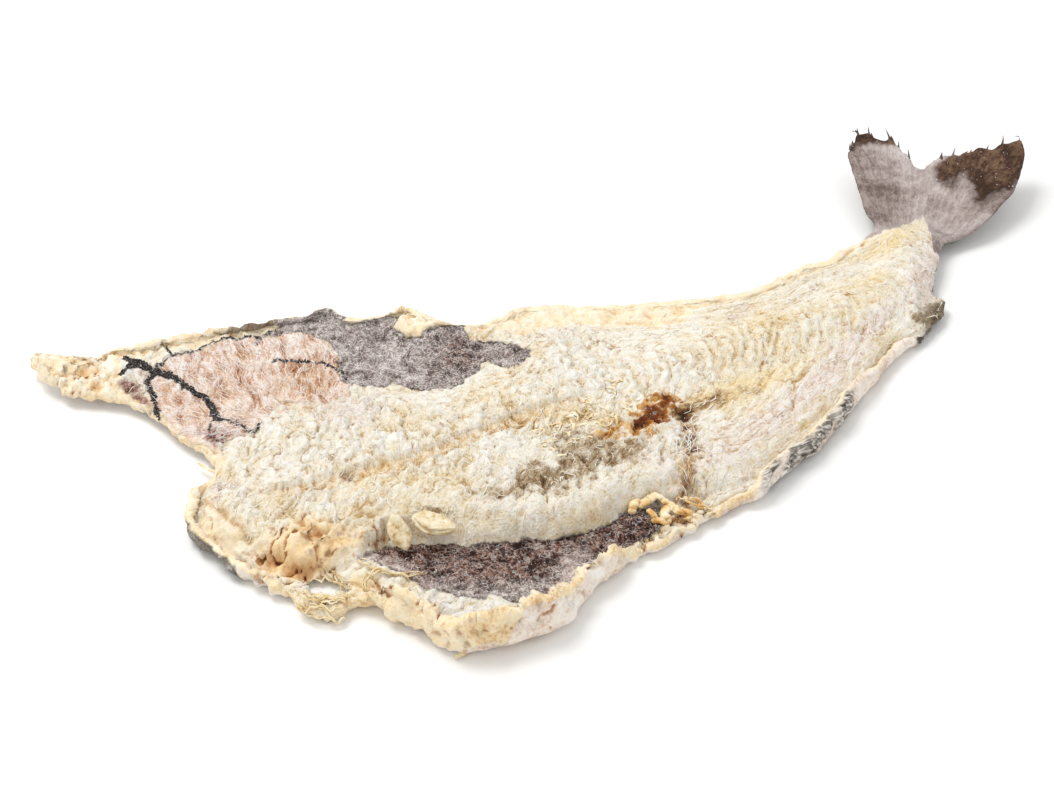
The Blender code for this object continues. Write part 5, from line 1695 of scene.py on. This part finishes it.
def chips_at(place, facing, size, flat, sides, seed):
    """Small broken lumps, one at each place: a rim of so many shaken corners, with a crown and a foot."""
    random = np.random.default_rng(seed)
    count = len(place)
    turn = 2 * math.pi * np.arange(sides) / sides
    shape = np.vstack([np.stack([np.cos(turn), np.sin(turn), 0 * turn], 1), [(0, 0, 1), (0, 0, -1)]])
    shape = shape[None] * random.uniform(0.65, 1.35, (count, sides + 2, 1))
    shape = shape + random.normal(0, 0.1, (count, sides + 2, 3))
    spin = random.uniform(0, 2 * math.pi, count)
    helper = np.stack([np.cos(spin), np.sin(spin), np.zeros(count)], 1)
    side = np.cross(facing, helper)
    side /= np.linalg.norm(side, axis=1, keepdims=True)
    ahead = np.cross(facing, side)
    shape = (
        shape[:, :, 0:1] * side[:, None] + shape[:, :, 1:2] * ahead[:, None]
        + shape[:, :, 2:3] * facing[:, None] * np.reshape(flat, (-1, 1, 1))
    )
    corners = place[:, None] + shape * np.reshape(size, (-1, 1, 1))
    one = []
    for k in range(sides):
        after = (k + 1) % sides
        one += [(k, after, sides), (after, k, sides + 1)]
    faces = np.array(one)[None] + (sides + 2) * np.arange(count)[:, None, None]
    return corners.reshape(-1, 3), faces.reshape(-1, 3)


def crust_chips():
    """Chips along the crust's lines."""
    random = np.random.default_rng(251)
    roots = scattered(26000, (0, 60), (140, 180), 252)
    _, _, corner = on_flesh(roots)
    roots = roots[cod_paint["crust"][corner] > random.uniform(0.25, 0.9, len(roots))][:1500]
    place, facing, _ = on_flesh(roots)
    size = random.uniform(0.3, 0.9, len(roots))
    return chips_at(
        place + facing * 0.25 * size[:, None], facing, size, random.uniform(0.5, 0.9, len(roots)), 5, 253
    )


# Black lining, rubbed up and dried to a brittle crust: nearly black, with specks of salt.
crust_black = mottled(
    "dried_black_lining_crust", 900.0,
    ((0.35, "#0E0B0A"), (0.5, "#2E2826"), (0.62, "#5F5855"), (0.7, "#D8D2CD")), 0.55, 0.3
)
stuck_on("black_crust_chips", *crust_chips(), crust_black)

# --- Salt grains ------------------------------------------------------------------------------------
# Coarse curing salt that stayed on the fish: white grains, thickest on the black lining and its crust,
# with a few over the flesh and at the root of the tail fin.


def salt_grains():
    """Grains thrown over the whole flesh side, kept where the salt held."""
    random = np.random.default_rng(261)
    roots = scattered(60000, (-35, -170), (640, 210), 262)
    roots = roots[inside(edge_line, roots)]
    _, _, corner = on_flesh(roots)
    held = np.full(len(roots), 0.05)
    net = bell(grains(roots, 4.5, 263), 0.13) + bell(grains(roots, 7.5, 264), 0.09)
    brown = np.clip(patches(roots, BROWN_TINTS), 0, 1)
    held = np.maximum(held, (cod_paint["membrane"][corner] > 0.5) * (0.06 + 0.8 * net) * (1 - 0.6 * brown))
    held = np.maximum(held, 0.16 * (cod_paint["crust"][corner] > 0.25))
    held = np.maximum(held, 0.12 * cod_paint["fin"][corner] * smooth_steps((60 - fin_place(roots)[0]) / 40))
    kept = held > random.uniform(0, 1, len(roots))
    roots = roots[kept]
    place, facing, _ = on_flesh(roots)
    size = random.uniform(0.16, 0.42, len(roots))
    return chips_at(
        place + facing * 0.6 * size[:, None], facing, size, random.uniform(0.7, 1.0, len(roots)), 4, 265
    )


# Curing salt, dried on as coarse grains: white, with small glints.
salt = mottled("curing_salt", 500.0, ((0.3, "#F2EFEA"), (0.7, "#FFFFFF")), 0.3, 0.05)
stuck_on("salt_grains", *salt_grains(), salt)

# --- Fin ray tips -----------------------------------------------------------------------------------
# The tail fin's rays stand out past its torn web as thin dark spikes.


def ray_tips():
    """Spikes along the two tips of the fin, each out along its own ray."""
    random = np.random.default_rng(271)
    along, aside, _ = fin_place(edge_line)
    tipped = np.flatnonzero((along > 86) & (np.abs(aside) < 62))
    parts = []
    last, gap = None, 0.0
    for i in tipped:
        if last is not None and math.dist(edge_line[i], edge_line[last]) < gap:
            continue
        last, gap = i, random.choice((2.5, 4.0, 7.0, 11.0))
        root = edge_line[i]
        way = root - (FIN_ROOT - FIN_WAY * RAY_FAN)
        way = way / np.linalg.norm(way)
        length = random.uniform(1.5, 8.0)
        t = np.linspace(0.0, 1.0, 9)[:, None]
        sway = np.array((-way[1], way[0])) * random.normal(0, 0.2)
        plan = root - way * 3.0 + (way + sway * t) * (length + 3.0) * t
        skin, facing = sampled(SKIN_PLACE, plan), sampled(SKIN_NORMAL, plan)
        path = skin + facing * 1.0 + np.array((0, 0, 1.0)) * 1.2 * t**2
        widths = (1.5 * (1 - t[:, 0]) ** 0.9 + 0.1)[None] * random.uniform(0.6, 1.2)
        parts.append(strands(path[None], facing[None], widths, np.minimum(widths, 0.55), 6))
    return joined(parts)


# Fin ray, dried bare of its web: dark horn brown, paler on the bumps of its grain as painted highlight.
ray_dark = mottled("dark_fin_ray", 200.0, ((0.3, "#2A1A12"), (0.5, "#59443A"), (0.7, "#9A877D")), 0.5, 0.3)
stuck_on("fin_ray_tips", *ray_tips(), ray_dark)

# --- Floor, light and camera ------------------------------------------------------------------------
# A sheet of white paper under the fish, one large soft box overhead and a white room about it, seen
# from over the fish's right side with a long lens.

FLOOR_HALF = 6.0
FLOOR_DROP = 0.0006  # the paper lies this far under the fish, so that the two never share a plane

floor_corners = [
    (x * FLOOR_HALF, y * FLOOR_HALF, -FLOOR_DROP) for x, y in ((-1, -1), (1, -1), (1, 1), (-1, 1))
]
mesh = bpy.data.meshes.new("floor")
mesh.from_pydata(floor_corners, [], [(0, 1, 2, 3)])
floor = bpy.data.objects.new("floor", mesh)
bpy.context.scene.collection.objects.link(floor)
# White paper, unprinted and matt: a plain ground with no pattern or gloss.
floor_material, _, floor_shader = start_material("white_paper_floor")
floor_shader.inputs["Base Color"].default_value = colour("#F6F6F5")
floor_shader.inputs["Roughness"].default_value = 0.9
mesh.materials.append(floor_material)

scene = bpy.context.scene
scene.view_settings.view_transform = "Standard"
world = bpy.data.worlds.new("studio")
world.use_nodes = True
world.node_tree.nodes["Background"].inputs["Color"].default_value = (1.0, 1.0, 1.0, 1.0)
world.node_tree.nodes["Background"].inputs["Strength"].default_value = 0.83
scene.world = world


def soft_light(name, place, aim, size, power):
    """A square soft box at a place, turned to face its aim."""
    lamp = bpy.data.lights.new(name, "AREA")
    lamp.energy = power
    lamp.size = size
    holder = bpy.data.objects.new(name, lamp)
    holder.location = place
    holder.rotation_euler = (Vector(aim) - Vector(place)).to_track_quat("-Z", "Y").to_euler()
    scene.collection.objects.link(holder)


soft_light("overhead_soft_box", (-0.5, 0.7, 1.7), (0.0, 0.0, 0.0), 0.9, 18.5)

camera_data = bpy.data.cameras.new("camera")
camera_data.sensor_width = 36.0
camera_data.angle = math.radians(28.0)
camera = bpy.data.objects.new("camera", camera_data)
camera.location = (-0.5902, -0.8675, 0.7631)
aim = Vector((-0.0839, 0.0096, 0.0))
camera.rotation_euler = (aim - camera.location).to_track_quat("-Z", "Y").to_euler()
scene.collection.objects.link(camera)
scene.camera = camera
